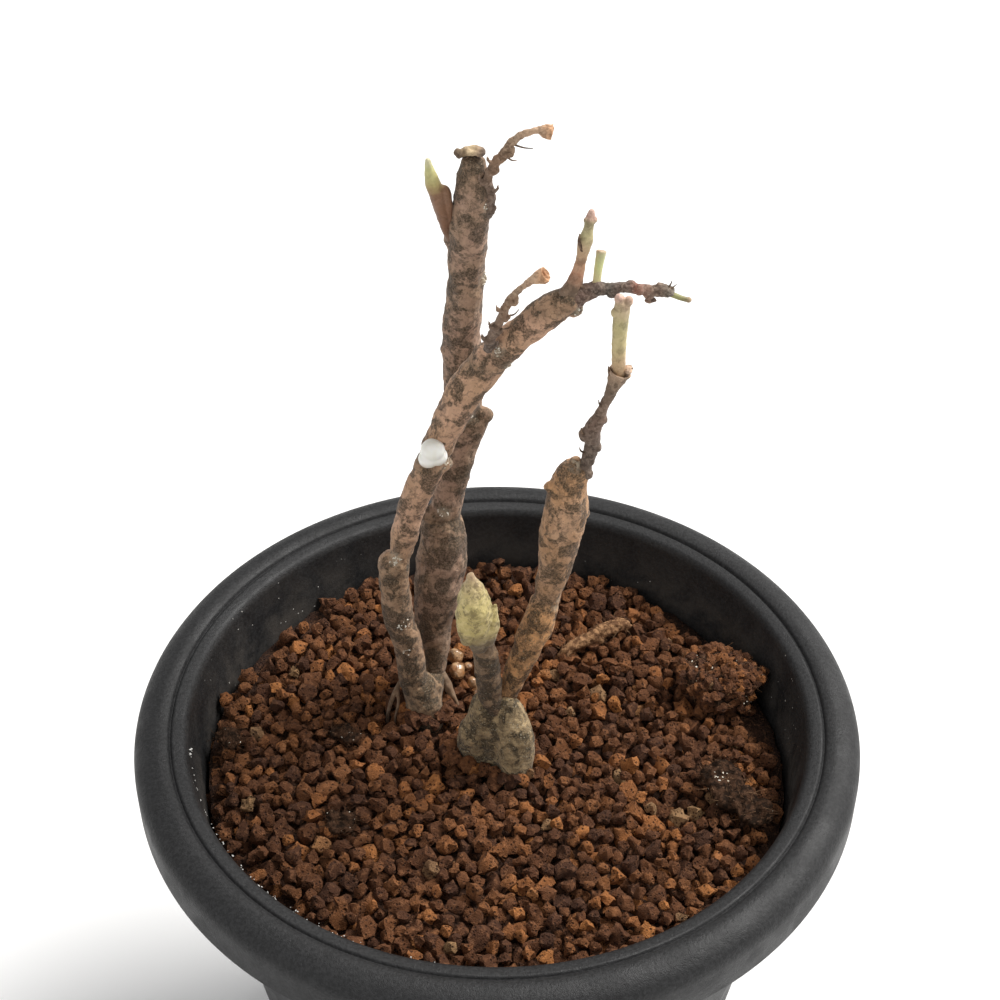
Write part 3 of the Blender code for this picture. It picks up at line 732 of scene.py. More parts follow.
def build_grain_tree():
    """Geometry tree: a ball at each point, chipped flat from many sides and roughened."""
    inputs = {
        "Chips": ("Int", 11),
        "Deepest": ("Float", 0.50),
        "Shallowest": ("Float", 0.92),
        "Roughness": ("Float", 1.9),
        "Seed": ("Int", 3),
        "Material": ("Material", None),
    }
    tree, given, result = start_geometry_tree("Chipped grains", inputs)

    def named(label, kind="FLOAT"):
        made = add_node(tree, "GeometryNodeInputNamedAttribute", {0: label}, data_type=kind)
        return made.outputs["Attribute"]

    def store(geometry, label, value, kind):
        settings = {"data_type": kind, "domain": "POINT"}
        inputs = {"Geometry": geometry, "Name": label, "Value": value}
        return add_node(tree, "GeometryNodeStoreNamedAttribute", inputs, **settings).outputs[0]

    position = add_node(tree, "GeometryNodeInputPosition").outputs[0]
    index = add_node(tree, "GeometryNodeInputIndex").outputs[0]
    points = store(given["Geometry"], "centre", position, "FLOAT_VECTOR")
    points = store(points, "number", index, "INT")
    ball = add_node(tree, "GeometryNodeMeshIcoSphere", {"Radius": 1.0, "Subdivisions": 2}).outputs[0]
    copies = {"Points": points, "Instance": ball, "Scale": named("size")}
    placed = add_node(tree, "GeometryNodeInstanceOnPoints", copies).outputs[0]
    plain = add_node(tree, "GeometryNodeRealizeInstances", {0: placed}).outputs[0]
    # Each turn of the loop picks one direction for each grain and flattens what sticks out past it.
    loop_start = tree.nodes.new("GeometryNodeRepeatInput")
    loop_end = tree.nodes.new("GeometryNodeRepeatOutput")
    loop_start.pair_with_output(loop_end)
    loop_end.repeat_items.new("INT", "Turn")
    tree.links.new(given["Chips"], loop_start.inputs["Iterations"])
    tree.links.new(plain, loop_start.inputs["Geometry"])
    tree.links.new(given["Seed"], loop_start.inputs["Turn"])
    turn = loop_start.outputs["Turn"]
    number = named("number", "INT")
    spread = {"Min": (-1.0, -1.0, -1.0), "Max": (1.0, 1.0, 1.0), "ID": number, "Seed": turn}
    picked = add_node(tree, "FunctionNodeRandomValue", spread, data_type="FLOAT_VECTOR").outputs[0]
    facing = vector_node(tree, "NORMALIZE", picked)
    cut = add_node(tree, "FunctionNodeRandomValue", {"Seed": turn}, data_type="FLOAT")
    tree.links.new(given["Deepest"], cut.inputs[2])
    tree.links.new(given["Shallowest"], cut.inputs[3])
    tree.links.new(number, cut.inputs["ID"])
    size = named("size")
    local = vector_node(tree, "SUBTRACT", position, named("centre", "FLOAT_VECTOR"))
    along = add_node(tree, "ShaderNodeVectorMath", {0: local, 1: facing}, operation="DOT_PRODUCT")
    limit = math_node(tree, "MULTIPLY", cut.outputs[1], size)
    proud = math_node(tree, "SUBTRACT", along.outputs["Value"], limit)
    over = math_node(tree, "MAXIMUM", proud, 0.0)
    back = vector_node(tree, "SCALE", facing, scale=math_node(tree, "MULTIPLY", over, -1.0))
    cut_back = {"Geometry": loop_start.outputs["Geometry"], "Offset": back}
    chipped = add_node(tree, "GeometryNodeSetPosition", cut_back).outputs[0]
    tree.links.new(chipped, loop_end.inputs["Geometry"])
    tree.links.new(math_node(tree, "ADD", turn, 1.0), loop_end.inputs["Turn"])
    # A little noise on the finished shape keeps its flats from looking sawn.
    bumps = add_node(tree, "ShaderNodeTexNoise", {"Vector": position, "Scale": 1500.0}).outputs[0]
    height = math_node(tree, "MULTIPLY", math_node(tree, "SUBTRACT", bumps, 0.5), given["Roughness"])
    outward = vector_node(tree, "SCALE", local, scale=height)
    moved = {"Geometry": loop_end.outputs["Geometry"], "Offset": outward}
    rough = add_node(tree, "GeometryNodeSetPosition", moved).outputs[0]
    finish = {"Geometry": rough, "Material": given["Material"]}
    done = add_node(tree, "GeometryNodeSetMaterial", finish).outputs[0]
    tree.links.new(done, result.inputs[0])
    return tree


GRAINS = build_grain_tree()
print("tree:", GRAINS.name)

# %% [markdown]
# ### Baked clay
# The grains are one clay baked unevenly. Most are a dull reddish brown, some are orange, and a few are
# nearly grey or pale. Every grain carries a random number from 0 to 1, and a colour ramp turns it
# into one of those shades. Pores come from the shared relief and are painted darker, as painted shade in
# their hollows, and a lighter worn skin is added in ragged patches.

# %% Clay material


def clay_material(name, stops, dark=0.35):
    """Porous clay, its pores painted dark as shade. stops are pairs of share and colour, read by each grain's
    own tint.
    """
    made, tree, shader, place = start_material(name, 0.92)
    shader.inputs["Specular IOR Level"].default_value = 0.25
    tint = add_node(tree, "ShaderNodeAttribute", attribute_name="tint").outputs["Fac"]
    shade = ramp(tree, tint, stops)
    relief = place_group(tree, RELIEF, Vector=place, Scale=1900.0, Pores=0.8, Grain=0.8)
    mottle = place_group(tree, PATCHES, Vector=place, Scale=800.0, Level=0.5, Softness=0.15)["Mask"]
    worn = blend(tree, math_node(tree, "MULTIPLY", mottle, dark), shade, rgb(0.085, 0.036, 0.019))
    skin = place_group(tree, PATCHES, Vector=place, Scale=1500.0, Level=0.60, Softness=0.08)["Mask"]
    bright = blend(tree, 1.0, worn, rgb(0.20, 0.095, 0.045), "ADD")
    flecked = blend(tree, math_node(tree, "MULTIPLY", skin, 0.55), worn, bright)
    # The pores' mask darkens the colour: painted shade in the hollows of the pores.
    colour = blend(tree, relief["Cavity"], flecked, rgb(0.040, 0.016, 0.009))
    wire(tree, shader, Base_Color=colour, Normal=bump(tree, relief["Height"], 0.40 * MM, 1.0))
    return made


CLAY_SHADES = [
    (0.00, (0.078, 0.034, 0.019)),
    (0.15, (0.112, 0.045, 0.021)),
    (0.50, (0.172, 0.068, 0.028)),
    (0.80, (0.255, 0.102, 0.038)),
    (0.92, (0.380, 0.145, 0.048)),
    (0.985, (0.520, 0.205, 0.062)),
    (0.992, (0.300, 0.170, 0.085)),
    (1.00, (0.420, 0.250, 0.120)),
]
clay = clay_material("baked_clay", CLAY_SHADES)
print("clay shades:", len(CLAY_SHADES))

# %% Make the grains


def point_cloud(name, rows, seed):
    """A mesh of loose points with a size and a random tint each. rows are x, y, z and radius."""
    mesh = bpy.data.meshes.new(name)
    mesh.from_pydata([tuple(row[:3]) for row in rows], [], [])
    rng = np.random.default_rng(seed)
    values = {"size": [row[3] for row in rows], "tint": rng.random(len(rows))}
    for label, numbers in values.items():
        mesh.attributes.new(label, "FLOAT", "POINT").data.foreach_set("value", numbers)
    return mesh


def make_grains(name, rows, seed, material, **values):
    """One piece of many chipped grains."""
    cloud_mesh = point_cloud(name + "_points", rows, seed)
    piece = grow_from_tree(name, cloud_mesh, GRAINS, Seed=seed * 100, Material=material, **values)
    piece.data.shade_smooth()
    piece.data.set_sharp_from_angle(angle=math.radians(40.0))
    return piece


SPREAD = 1.12  # how much larger a grain's ball is than the gap it settled in, before it is chipped
for label, keep in (("left", grains[:, 0] < 0), ("right", grains[:, 0] >= 0)):
    rows = grains[keep].copy()
    rows[:, 3] *= SPREAD
    piece = make_grains("clay_granules_" + label, rows, 5 + len(label), clay)
    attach(piece, "root")
    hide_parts("soil_bed")
    print(piece.name, "grains:", len(rows), "faces:", len(piece.data.polygons))

# %% [markdown]
# ## Growing the stems
# The plant grows in joints: each season's shoot ends in a knob or shoulder with a scar, and the next
# one starts narrower beside it. A stem is therefore made of several short tubes and a few balls that
# overlap. A voxel Remesh fuses them into one skin, a Smooth modifier softens the joins like healed
# bark, and noise gives it lumps. Each point of the skin also stores where it is along and round the
# stem, so that bark patterns can follow a bend, and how old its joint is.

# %% Paths and tubes


def at(x, y, height):
    """A place given in millimetres, with its height above the soil's level."""
    return Vector((x * MM, y * MM, SOIL_LEVEL + height * MM))


def smooth_path(rows, step=0.4 * MM):
    """A fine path through rows of x, y, height and radius, as pairs of place and radius."""
    knots = [(*at(*row[:3]), row[3] * MM) for row in rows]
    knots = np.array([2 * np.array(knots[0]) - knots[1], *knots, 2 * np.array(knots[-1]) - knots[-2]])
    path = []
    for a, b, c, d in zip(knots, knots[1:], knots[2:], knots[3:]):
        count = max(2, round(float(np.linalg.norm(c[:3] - b[:3])) / step))
        for share in np.arange(count) / count:
            curve = 2 * b + (c - a) * share + (2 * a - 5 * b + 4 * c - d) * share**2
            path.append((curve + (3 * b - a - 3 * c + d) * share**3) / 2)
    path.append(knots[-2])
    return [(Vector(row[:3]), float(max(row[3], 0.02 * MM))) for row in path]


def path_frames(path):
    """The direction along the path at each place, and a sideways one that doesn't twist."""
    places = [place for place, _ in path]
    frames = []
    side = Vector((1.0, 0.0, 0.0))
    for index, place in enumerate(places):
        before, after = places[max(index - 1, 0)], places[min(index + 1, len(places) - 1)]
        forward = (after - before).normalized()
        side = (side - forward * side.dot(forward)).normalized()
        frames.append((forward, side))
    return frames


def add_tube(shape, path, sides=20, blunt=0.6, cup=0.0):
    """Adds a closed tube with rounded ends, or with a hollow end that is cup deep."""
    frames = path_frames(path)
    rings = []

    def ring(centre, frame, radius):
        forward, side = frame
        across = forward.cross(side)
        turns = [math.tau * index / sides for index in range(sides)]
        spots = [centre + (side * math.cos(t) + across * math.sin(t)) * radius for t in turns]
        return [shape.verts.new(spot) for spot in spots]

    def dome(end, direction, reverse):
        place, radius = path[end]
        made = []
        for angle in (30.0, 60.0, 80.0):
            shift = direction * radius * blunt * math.sin(math.radians(angle))
            made.append(ring(place + shift, frames[end], radius * math.cos(math.radians(angle))))
        return list(reversed(made)) if reverse else made

    rings += dome(0, -frames[0][0], True)
    rings += [ring(place, frame, radius) for (place, radius), frame in zip(path, frames)]
    if cup:
        place, radius = path[-1]
        inward = [(0.06, 0.93), (0.02, 0.84), (-0.35, 0.66), (-0.8, 0.5), (-1.0, 0.3)]
        for depth, share in inward:
            rings.append(ring(place + frames[-1][0] * depth * cup, frames[-1], radius * share))
    else:
        rings += dome(-1, frames[-1][0], False)
    for lower, upper in zip(rings, rings[1:]):
        for index in range(sides):
            after = (index + 1) % sides
            shape.faces.new((lower[index], lower[after], upper[after], upper[index]))
    shape.faces.new(list(reversed(rings[0])))
    shape.faces.new(rings[-1])


def add_ball(shape, place, radii, lean=(0.0, 0.0, 1.0)):
    """Adds a ball with its own three radii in millimetres, its long way turned to lean."""
    turn = Vector(lean).to_track_quat("Z", "Y").to_matrix().to_4x4()
    sizes = Matrix.Diagonal((*[radius * MM for radius in radii], 1.0))
    matrix = Matrix.Translation(at(*place)) @ turn @ sizes
    bmesh.ops.create_icosphere(shape, subdivisions=3, radius=1.0, matrix=matrix)


print("a metre of test path:", len(smooth_path([(0, 0, 0, 1), (0, 0, 10, 1)])), "places")

# %% One grown skin


def fuse(shape, name, voxel, softening):
    """Fuses a bmesh's overlapping parts into one skin."""
    holder = new_object(name, finished(shape, name))
    remesh = holder.modifiers.new("fuse", "REMESH")
    remesh.mode = "VOXEL"
    remesh.voxel_size = voxel
    smooth = holder.modifiers.new("soften", "SMOOTH")
    smooth.factor = 0.5
    smooth.iterations = softening
    view = bpy.context.evaluated_depsgraph_get()
    mesh = bpy.data.meshes.new_from_object(holder.evaluated_get(view))
    holder.modifiers.clear()
    holder.data = mesh
    mesh.shade_smooth()
    return holder


def lump_skin(mesh, layers, seed=0.0):
    """Moves a skin's points out and in by noise. layers are pairs of feature size and depth in mm."""
    count = len(mesh.vertices)
    places = np.empty(count * 3)
    normals = np.empty(count * 3)
    mesh.vertices.foreach_get("co", places)
    mesh.vertex_normals.foreach_get("vector", normals)
    places, normals = places.reshape(-1, 3), normals.reshape(-1, 3)
    offset = np.zeros(count)
    for size, depth in layers:
        spots = places / (size * MM) + seed
        offset += depth * MM * np.array([noise.noise(Vector(spot)) for spot in spots])
    places = places + normals * offset[:, None]
    mesh.vertices.foreach_set("co", places.ravel())
    mesh.update()


def store_skin(mesh, path, ages, scars, reach=1.2):
    """Stores each point's straightened place, its age and how near it is to a scar."""
    frames = path_frames(path)
    tree = kdtree.KDTree(len(path))
    lengths = [0.0]
    for (here, _), (there, _) in zip(path, path[1:]):
        lengths.append(lengths[-1] + (there - here).length)
    for index, (place, _) in enumerate(path):
        tree.insert(place, index)
    tree.balance()
    stops, values = zip(*ages)
    skin, age, scar = [], [], []
    marks = [at(*mark) for mark in scars]
    for point in mesh.vertices:
        _, index, _ = tree.find(point.co)
        forward, side = frames[index]
        local = point.co - path[index][0]
        along = lengths[index] + local.dot(forward)
        skin += [local.dot(side), local.dot(forward.cross(side)), along]
        height = (point.co.z - SOIL_LEVEL) / MM
        age.append(float(np.interp(height, stops, values)))
        near = min(((point.co - mark).length / MM for mark in marks), default=9.0)
        scar.append(max(0.0, 1.0 - near / reach))
    mesh.attributes.new("skin", "FLOAT_VECTOR", "POINT").data.foreach_set("vector", skin)
    mesh.attributes.new("age", "FLOAT", "POINT").data.foreach_set("value", age)
    mesh.attributes.new("scar", "FLOAT", "POINT").data.foreach_set("value", scar)


def keep_piece(piece, node, slot, material):
    piece.data.materials.clear()
    piece.data.materials.append(material)
    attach(piece, "root")
    if node:
        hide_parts(node)
    print(piece.name, "faces:", len(piece.data.polygons))
    return piece


def grow_stem(name, joints, balls, ages, scars=(), voxel=0.16, softening=3, layers=(), seed=0.0):
    """A jointed stem as one skin. joints are tables of rows; ages are pairs of height and age."""
    shape = bmesh.new()
    for rows in joints:
        add_tube(shape, smooth_path(rows))
    for place, radii, *lean in balls:
        add_ball(shape, place, radii, *lean)
    piece = fuse(shape, name, voxel * MM, softening)
    lump_skin(piece.data, layers or [(2.4, 0.22), (0.9, 0.09), (0.45, 0.05)], seed)
    whole = [pair for rows in joints for pair in smooth_path(rows)]
    store_skin(piece.data, whole, ages, scars)
    return piece


# %% [markdown]
# ### Mottled bark
# Young joints are a pinkish tan with ragged charcoal blotches. Towards the soil the skin turns
# grey-green and cracks into a fine, pale crust. One material does both, and mixes them by the age
# stored on the skin. Ragged patches make the blotches, and finer ones break their edges into specks.

# %% Bark material


def attribute(tree, name, output="Fac"):
    """A stored attribute's value, or its vector or colour."""
    return add_node(tree, "ShaderNodeAttribute", attribute_name=name).outputs[output]


def bark_material(name, tan, pink, grey, level=0.5, size=420.0, crust=0.5, roughness=0.78):
    """Bark, tan where young and grey where old, with dark blotches, pale crust and healed scars."""
    made, tree, shader, place = start_material(name, roughness)
    shader.inputs["Specular IOR Level"].default_value = 0.30
    shader.inputs["Sheen Weight"].default_value = 0.10
    age = attribute(tree, "age")
    skin = attribute(tree, "skin", "Vector")
    drift = fit(tree, cloud(tree, place, 230.0, 2.0), 0.38, 0.62)
    young = blend(tree, drift, rgb(*tan), rgb(*pink))
    squeezed = add_node(tree, "ShaderNodeMapping", {"Vector": skin, "Scale": (1.0, 1.0, 0.3)}).outputs[0]
    streak = fit(tree, cloud(tree, squeezed, 2600.0, 3.0, 0.6), 0.46, 0.70, 0.0, 0.30)
    young = blend(tree, streak, young, rgb(*[min(1.0, c * 1.5) for c in pink]))
    weathered = fit(tree, cloud(tree, place, 900.0, 5.0, 0.7), 0.36, 0.66)
    old = blend(tree, weathered, rgb(*grey), rgb(*[c * 2.2 for c in grey]))
    base = blend(tree, age, young, old)
    wide = {"Scale": size, "Level": level, "Softness": 0.05, "Raggedness": 0.42}
    fine = {"Scale": size * 3.4, "Level": level + 0.05, "Softness": 0.06, "Raggedness": 0.5}
    big = place_group(tree, PATCHES, Vector=place, **wide)["Mask"]
    small = place_group(tree, PATCHES, Vector=place, **fine)["Mask"]
    stipple = fit(tree, cloud(tree, place, 4200.0, 3.0, 0.7), 0.36, 0.60, 0.55, 1.0)
    blotch = math_node(tree, "MULTIPLY", math_node(tree, "MULTIPLY", big, stipple), 0.92)
    fleck = math_node(tree, "MULTIPLY", math_node(tree, "MULTIPLY", small, stipple), 0.55)
    dark = math_node(tree, "MAXIMUM", blotch, fleck)
    char = blend(tree, age, rgb(0.046, 0.032, 0.017), rgb(0.034, 0.026, 0.015))
    mottled = blend(tree, dark, base, char)
    specks = place_group(tree, SPECKS, Vector=place, Scale=4200.0, Share=0.35, Size=0.34)["Mask"]
    pale = math_node(tree, "MULTIPLY", math_node(tree, "MULTIPLY", specks, crust), age)
    crusted = blend(tree, pale, mottled, rgb(0.46, 0.40, 0.29))
    healed = attribute(tree, "scar")
    rim = place_group(tree, PATCHES, Vector=place, Scale=1600.0, Level=0.46, Softness=0.1)["Mask"]
    colour = blend(tree, math_node(tree, "MULTIPLY", healed, rim), crusted, rgb(0.45, 0.38, 0.28))
    relief = place_group(tree, RELIEF, Vector=place, Scale=2300.0, Pores=0.25, Grain=0.6)["Height"]
    ridges = bump(tree, cloud(tree, squeezed, 1500.0, 2.0), 0.10 * MM, 0.4)
    normal = bump(tree, relief, 0.11 * MM, 0.9, ridges)
    wire(tree, shader, Base_Color=colour, Normal=normal)
    return made


bark = bark_material(
    "mottled_bark", (0.52, 0.315, 0.190), (0.60, 0.365, 0.240), (0.180, 0.116, 0.068), 0.51, 480.0,
)
bark_tall = bark_material(
    "mottled_bark_tall", (0.36, 0.235, 0.155), (0.43, 0.275, 0.195), (0.170, 0.110, 0.065), 0.485, 480.0
)
print("materials:", bark.name, bark_tall.name)

# %% [markdown]
# ### The rear crown and its two stems
# Two stems share one short crown: an arching one in four joints, and an upright one that leans behind
# it. Where one joint ends, a knob stands out on the outside of the bend.

# %% Rear crown, arching stem and upright stem
CROWN_JOINTS = [
    [
        (-9.0, 7.2, -6, 1.6), (-9.2, 7.0, -2, 2.3), (-9.5, 6.9, 0.6, 2.5), (-9.6, 6.9, 2.6, 2.3),
        (-9.9, 7.0, 5, 1.9),
    ],
    [(-8.6, 8.4, -1.0, 1.2), (-8.5, 8.6, 1.5, 1.4), (-8.3, 9.2, 4.0, 1.3)],
]
crown_balls = [((-9.3, 6.0, 2.2), (1.9, 1.6, 1.6)), ((-8.4, 7.6, 3.4), (1.3, 1.3, 1.6))]
OLD = [(0.0, 1.0), (30.0, 1.0)]
crown = grow_stem("rear_crown_skin", CROWN_JOINTS, crown_balls, OLD, seed=3.0)
keep_piece(crown, "rear_crown", "grey_bark", bark)

ARCH_JOINTS = [
    [
        (-9.8, 7.1, 0.5, 1.9), (-10.1, 7.1, 2.2, 1.8), (-10.8, 7.2, 6.1, 1.85), (-11.1, 7.2, 10.2, 1.8),
        (-11.8, 7.3, 14.0, 1.85), (-12.5, 7.4, 18.0, 1.85), (-12.7, 7.6, 23.0, 1.8), (-12.5, 7.6, 25.6, 1.9),
    ],
    [
        (-12.2, 7.7, 24.4, 1.2), (-11.4, 7.7, 28.0, 1.5), (-10.7, 7.8, 31.5, 1.65), (-9.8, 7.9, 34.8, 1.7),
        (-8.6, 8.0, 38.0, 1.8), (-7.6, 8.1, 40.4, 1.9),
    ],
    [
        (-7.8, 8.0, 39.8, 1.3), (-7.0, 8.2, 42.2, 1.75), (-6.1, 8.3, 44.6, 1.85), (-3.9, 8.4, 49.8, 2.1),
        (-2.0, 8.4, 52.9, 2.1), (-0.5, 8.3, 55.0, 2.05),
    ],
    [
        (-1.2, 8.3, 54.0, 1.5), (0.0, 8.2, 55.6, 1.85), (3.2, 7.7, 59.2, 1.85), (6.2, 7.2, 62.3, 1.8),
        (8.0, 6.9, 63.7, 1.5),
    ],
]
arch_balls = [
    ((-13.2, 7.3, 26.0), (0.95, 0.9, 1.1)),
    ((-11.4, 7.2, 26.2), (0.9, 0.9, 0.9)),
    ((-6.3, 7.9, 40.3), (1.1, 1.0, 0.9)),
    ((0.7, 7.8, 54.8), (1.0, 0.9, 0.9)),
    ((0.0, 7.4, 56.9), (0.9, 0.8, 0.8)),
    ((8.4, 7.0, 62.3), (1.05, 1.0, 1.0)),
    ((7.5, 6.9, 63.8), (1.1, 1.0, 1.0)),
]
ARCH_AGE = [
    (0.0, 1.0), (8.0, 0.9), (12.0, 0.6), (23.0, 0.6), (25.5, 0.85), (27.5, 0.08), (39.0, 0.1), (40.6, 0.7),
    (42.4, 0.1), (53.0, 0.05), (54.6, 0.75), (56.2, 0.05),
]
ARCH_AGE += [(61.0, 0.05), (62.4, 0.7), (64.5, 0.7)]
arch_scars = [(-5.9, 7.4, 41.0), (-12.3, 6.4, 26.9), (1.5, 7.3, 54.9), (0.2, 6.9, 57.2), (8.9, 6.6, 62.6)]
arch = grow_stem("arching_stem", ARCH_JOINTS, arch_balls, ARCH_AGE, arch_scars, seed=8.0)
keep_piece(arch, "left_stem", "mottled_bark", bark)

TALL_JOINTS = [
    [
        (-8.6, 8.6, 1.4, 1.2), (-8.2, 10.0, 4.0, 1.3), (-7.9, 11.3, 6.8, 1.6), (-8.2, 12.6, 10.9, 2.4),
        (-7.7, 13.2, 14.4, 3.0), (-7.2, 13.8, 18.6, 3.15), (-6.8, 14.2, 22.4, 3.0), (-6.8, 14.5, 26.0, 2.5),
    ],
    [
        (-6.8, 14.6, 24.5, 1.9), (-6.0, 15.0, 30.0, 2.0), (-4.9, 15.4, 34.5, 1.9), (-3.7, 15.8, 39.0, 2.0),
        (-3.0, 15.9, 41.2, 2.1),
    ],
    [
        (-3.9, 16.0, 40.8, 1.8), (-3.9, 16.0, 45.0, 2.25), (-4.1, 15.9, 51.0, 2.3), (-3.8, 15.4, 57.0, 2.15),
        (-3.4, 15.1, 60.6, 2.15),
    ],
    [
        (-3.5, 15.2, 59.0, 1.9), (-3.2, 14.5, 66.8, 2.25), (-2.7, 14.0, 71.9, 2.0), (-2.6, 13.8, 74.8, 1.6),
        (-2.4, 13.6, 76.6, 1.4),
    ],
]
tall_balls = [
    ((-8.3, 14.0, 27.6), (1.1, 1.1, 1.2)),
    ((-1.6, 15.3, 41.8), (1.1, 1.0, 1.0)),
    ((-5.6, 15.6, 51.2), (1.0, 1.0, 0.9)),
    ((-1.9, 15.0, 61.0), (0.95, 1.0, 0.8)),
    ((-5.0, 14.6, 66.4), (0.9, 0.9, 1.2)),
    ((-1.2, 13.9, 70.9), (0.9, 0.9, 1.4)),
]
TALL_AGE = [
    (0.0, 0.9), (6.0, 0.4), (10.0, 0.1), (24.0, 0.15), (27.0, 0.75), (29.0, 0.1), (39.0, 0.1), (42.0, 0.7),
    (45.0, 0.2), (59.0, 0.2), (61.0, 0.6),
]
TALL_AGE += [(63.0, 0.15), (74.0, 0.2), (77.0, 0.6)]
tall_scars = [(-6.6, 12.9, 28.6), (-3.6, 14.0, 42.6), (-1.3, 14.6, 61.4), (-0.9, 13.2, 71.6)]
tall = grow_stem("upright_stem", TALL_JOINTS, tall_balls, TALL_AGE, tall_scars, seed=21.0)
keep_piece(tall, "tall_stem", "mottled_bark", bark_tall)

# %% [markdown]
# ### The front caudex, its stub and the leaning stem
# A caudex is a swollen base that stores water. This one has two lobes with a soft crease between them.
# A short stub with a bud and a leaning stem, which gets thicker upwards, grow from its top.

# %% Caudex, stub and leaning stem
CAUDEX_JOINTS = [
    [
        (-2.0, -0.2, -6.0, 1.8), (-2.5, -0.2, -0.5, 2.5), (-2.4, -0.4, 3.6, 2.45), (-1.8, -1.0, 7.4, 2.0),
        (-1.0, -1.7, 12.0, 1.5),
    ],
    [
        (2.0, -2.2, -6.0, 1.9), (2.2, -2.6, -0.8, 2.3), (2.35, -2.5, 3.2, 2.45), (1.9, -2.1, 7.0, 2.1),
        (0.8, -1.7, 11.2, 1.35),
    ],
    [(-0.2, -0.6, -6.0, 2.0), (-0.1, -0.7, 2.0, 2.5), (0.0, -1.3, 8.0, 1.9)],
]
caudex = grow_stem(
    "front_caudex_skin", CAUDEX_JOINTS, [], [(0.0, 0.95), (12.0, 1.0)], seed=31.0, voxel=0.2, softening=5,
    layers=[(4.0, 0.45), (1.6, 0.16), (0.7, 0.08)],
)
caudex_bark = bark_material(
    "caudex_skin", (0.36, 0.26, 0.16), (0.44, 0.32, 0.21), (0.250, 0.180, 0.098), 0.52, 560.0, 1.0
)
keep_piece(caudex, "front_caudex", "grey_bark", caudex_bark)

STUB_JOINTS = [
    [
        (-0.7, -1.7, 9.6, 1.5), (-1.0, -2.2, 15.0, 1.55), (-1.3, -2.9, 19.0, 1.5), (-1.7, -3.6, 22.6, 1.35),
        (-2.1, -4.0, 24.4, 1.3),
    ]
]
stub_balls = [
    ((-0.2, -2.6, 13.4), (0.9, 0.8, 1.3)), ((-1.9, -2.9, 16.8), (0.8, 0.8, 1.3)),
    ((-0.6, -3.6, 20.6), (0.9, 0.8, 0.9)),
]
stub = grow_stem("stub_stem_skin", STUB_JOINTS, stub_balls, OLD, seed=41.0, voxel=0.14)
keep_piece(stub, "stub_stem", "grey_bark", bark)

LEANING_JOINTS = [
    [
        (0.6, -1.4, 9.0, 1.3), (1.7, -0.8, 12.8, 1.4), (3.4, 0.0, 17.2, 1.75), (4.8, 0.6, 21.4, 1.95),
        (5.7, 1.1, 24.4, 1.85),
    ],
    [
        (5.8, 1.1, 23.8, 1.5), (6.3, 1.4, 27.4, 1.75), (6.9, 1.7, 30.6, 2.15), (7.4, 2.0, 34.4, 2.5),
        (7.9, 2.1, 38.0, 2.6), (8.1, 2.3, 41.2, 2.3), (8.7, 2.4, 43.8, 1.7),
    ],
]
leaning_balls = [
    ((6.1, 2.0, 41.6), (0.9, 0.9, 0.8)),
    ((9.9, 2.0, 37.6), (0.85, 0.8, 0.6)),
    ((8.8, 2.3, 44.9), (0.8, 0.9, 0.8)),
]
LEANING_AGE = [(10.0, 0.7), (13.0, 0.75), (22.0, 0.75), (24.5, 0.6), (26.5, 0.1), (38.0, 0.1), (43.0, 0.35)]
leaning = grow_stem(
    "leaning_stem", LEANING_JOINTS, leaning_balls, LEANING_AGE, [
        (7.4, 0.2, 25.0), (8.9, 1.4, 45.2),
    ], seed=52.0
)
bark_leaning = bark_material(
    "mottled_bark_leaning", (0.42, 0.245, 0.135), (0.52, 0.325, 0.205), (0.420, 0.215, 0.085), 0.51, 460.0
)
keep_piece(leaning, "right_stem", "mottled_bark", bark_leaning)

# %% [markdown]
# ## Buds, shoots and dried stalks
# The thin parts are made the same way as the stems, with smaller voxels. Their colour changes from the
# base to the tip, so their material reads the straightened place's length and feeds it to a ramp.

# %% Material for shoots and stalks


def shoot_material(name, length, stops, roughness=0.6, blotch=0.3, sheen=0.1, relief_depth=0.05, size=900.0):
    """A finish that follows a shoot's length in millimetres. stops are pairs of share and colour."""
    made, tree, shader, place = start_material(name, roughness)
    shader.inputs["Sheen Weight"].default_value = sheen
    shader.inputs["Specular IOR Level"].default_value = 0.35
    along = add_node(tree, "ShaderNodeSeparateXYZ", {0: attribute(tree, "skin", "Vector")}).outputs[2]
    wander = math_node(
        tree, "MULTIPLY", math_node(tree, "SUBTRACT", cloud(tree, place, 700.0, 2.0), 0.5), 0.16,
    )
    share = math_node(tree, "ADD", math_node(tree, "DIVIDE", along, length * MM), wander)
    base = ramp(tree, share, stops)
    patch = place_group(tree, PATCHES, Vector=place, Scale=size, Level=0.54, Softness=0.09)["Mask"]
    light = place_group(tree, PATCHES, Vector=place, Scale=size * 1.7, Level=0.56, Softness=0.08)["Mask"]
    darker = blend(tree, 1.0, base, rgb(0.30, 0.27, 0.24), "MULTIPLY")
    mottled = blend(tree, math_node(tree, "MULTIPLY", patch, blotch), base, darker)
    paler = blend(tree, 1.0, base, rgb(0.16, 0.13, 0.10), "ADD")
    colour = blend(tree, math_node(tree, "MULTIPLY", light, blotch * 0.8), mottled, paler)
    relief = place_group(tree, RELIEF, Vector=place, Scale=2600.0, Pores=0.25, Grain=0.4)["Height"]
    wire(tree, shader, Base_Color=colour, Normal=bump(tree, relief, relief_depth * MM, 0.8))
    return made


def grow_shoot(name, tubes, balls=(), voxel=0.09, softening=2, layers=((0.7, 0.05), (0.35, 0.03)), seed=0.0):
    """A thin piece as one skin. tubes are tables of rows, each with its own options."""
    shape = bmesh.new()
    for rows, *options in tubes:
        add_tube(shape, smooth_path(rows, 0.25 * MM), **(options[0] if options else {}))
    for place, radii, *lean in balls:
        add_ball(shape, place, radii, *lean)
    piece = fuse(shape, name, voxel * MM, softening)
    lump_skin(piece.data, layers, seed)
    store_skin(piece.data, smooth_path(tubes[0][0]), [(0.0, 0.0), (90.0, 0.0)], [])
    return piece


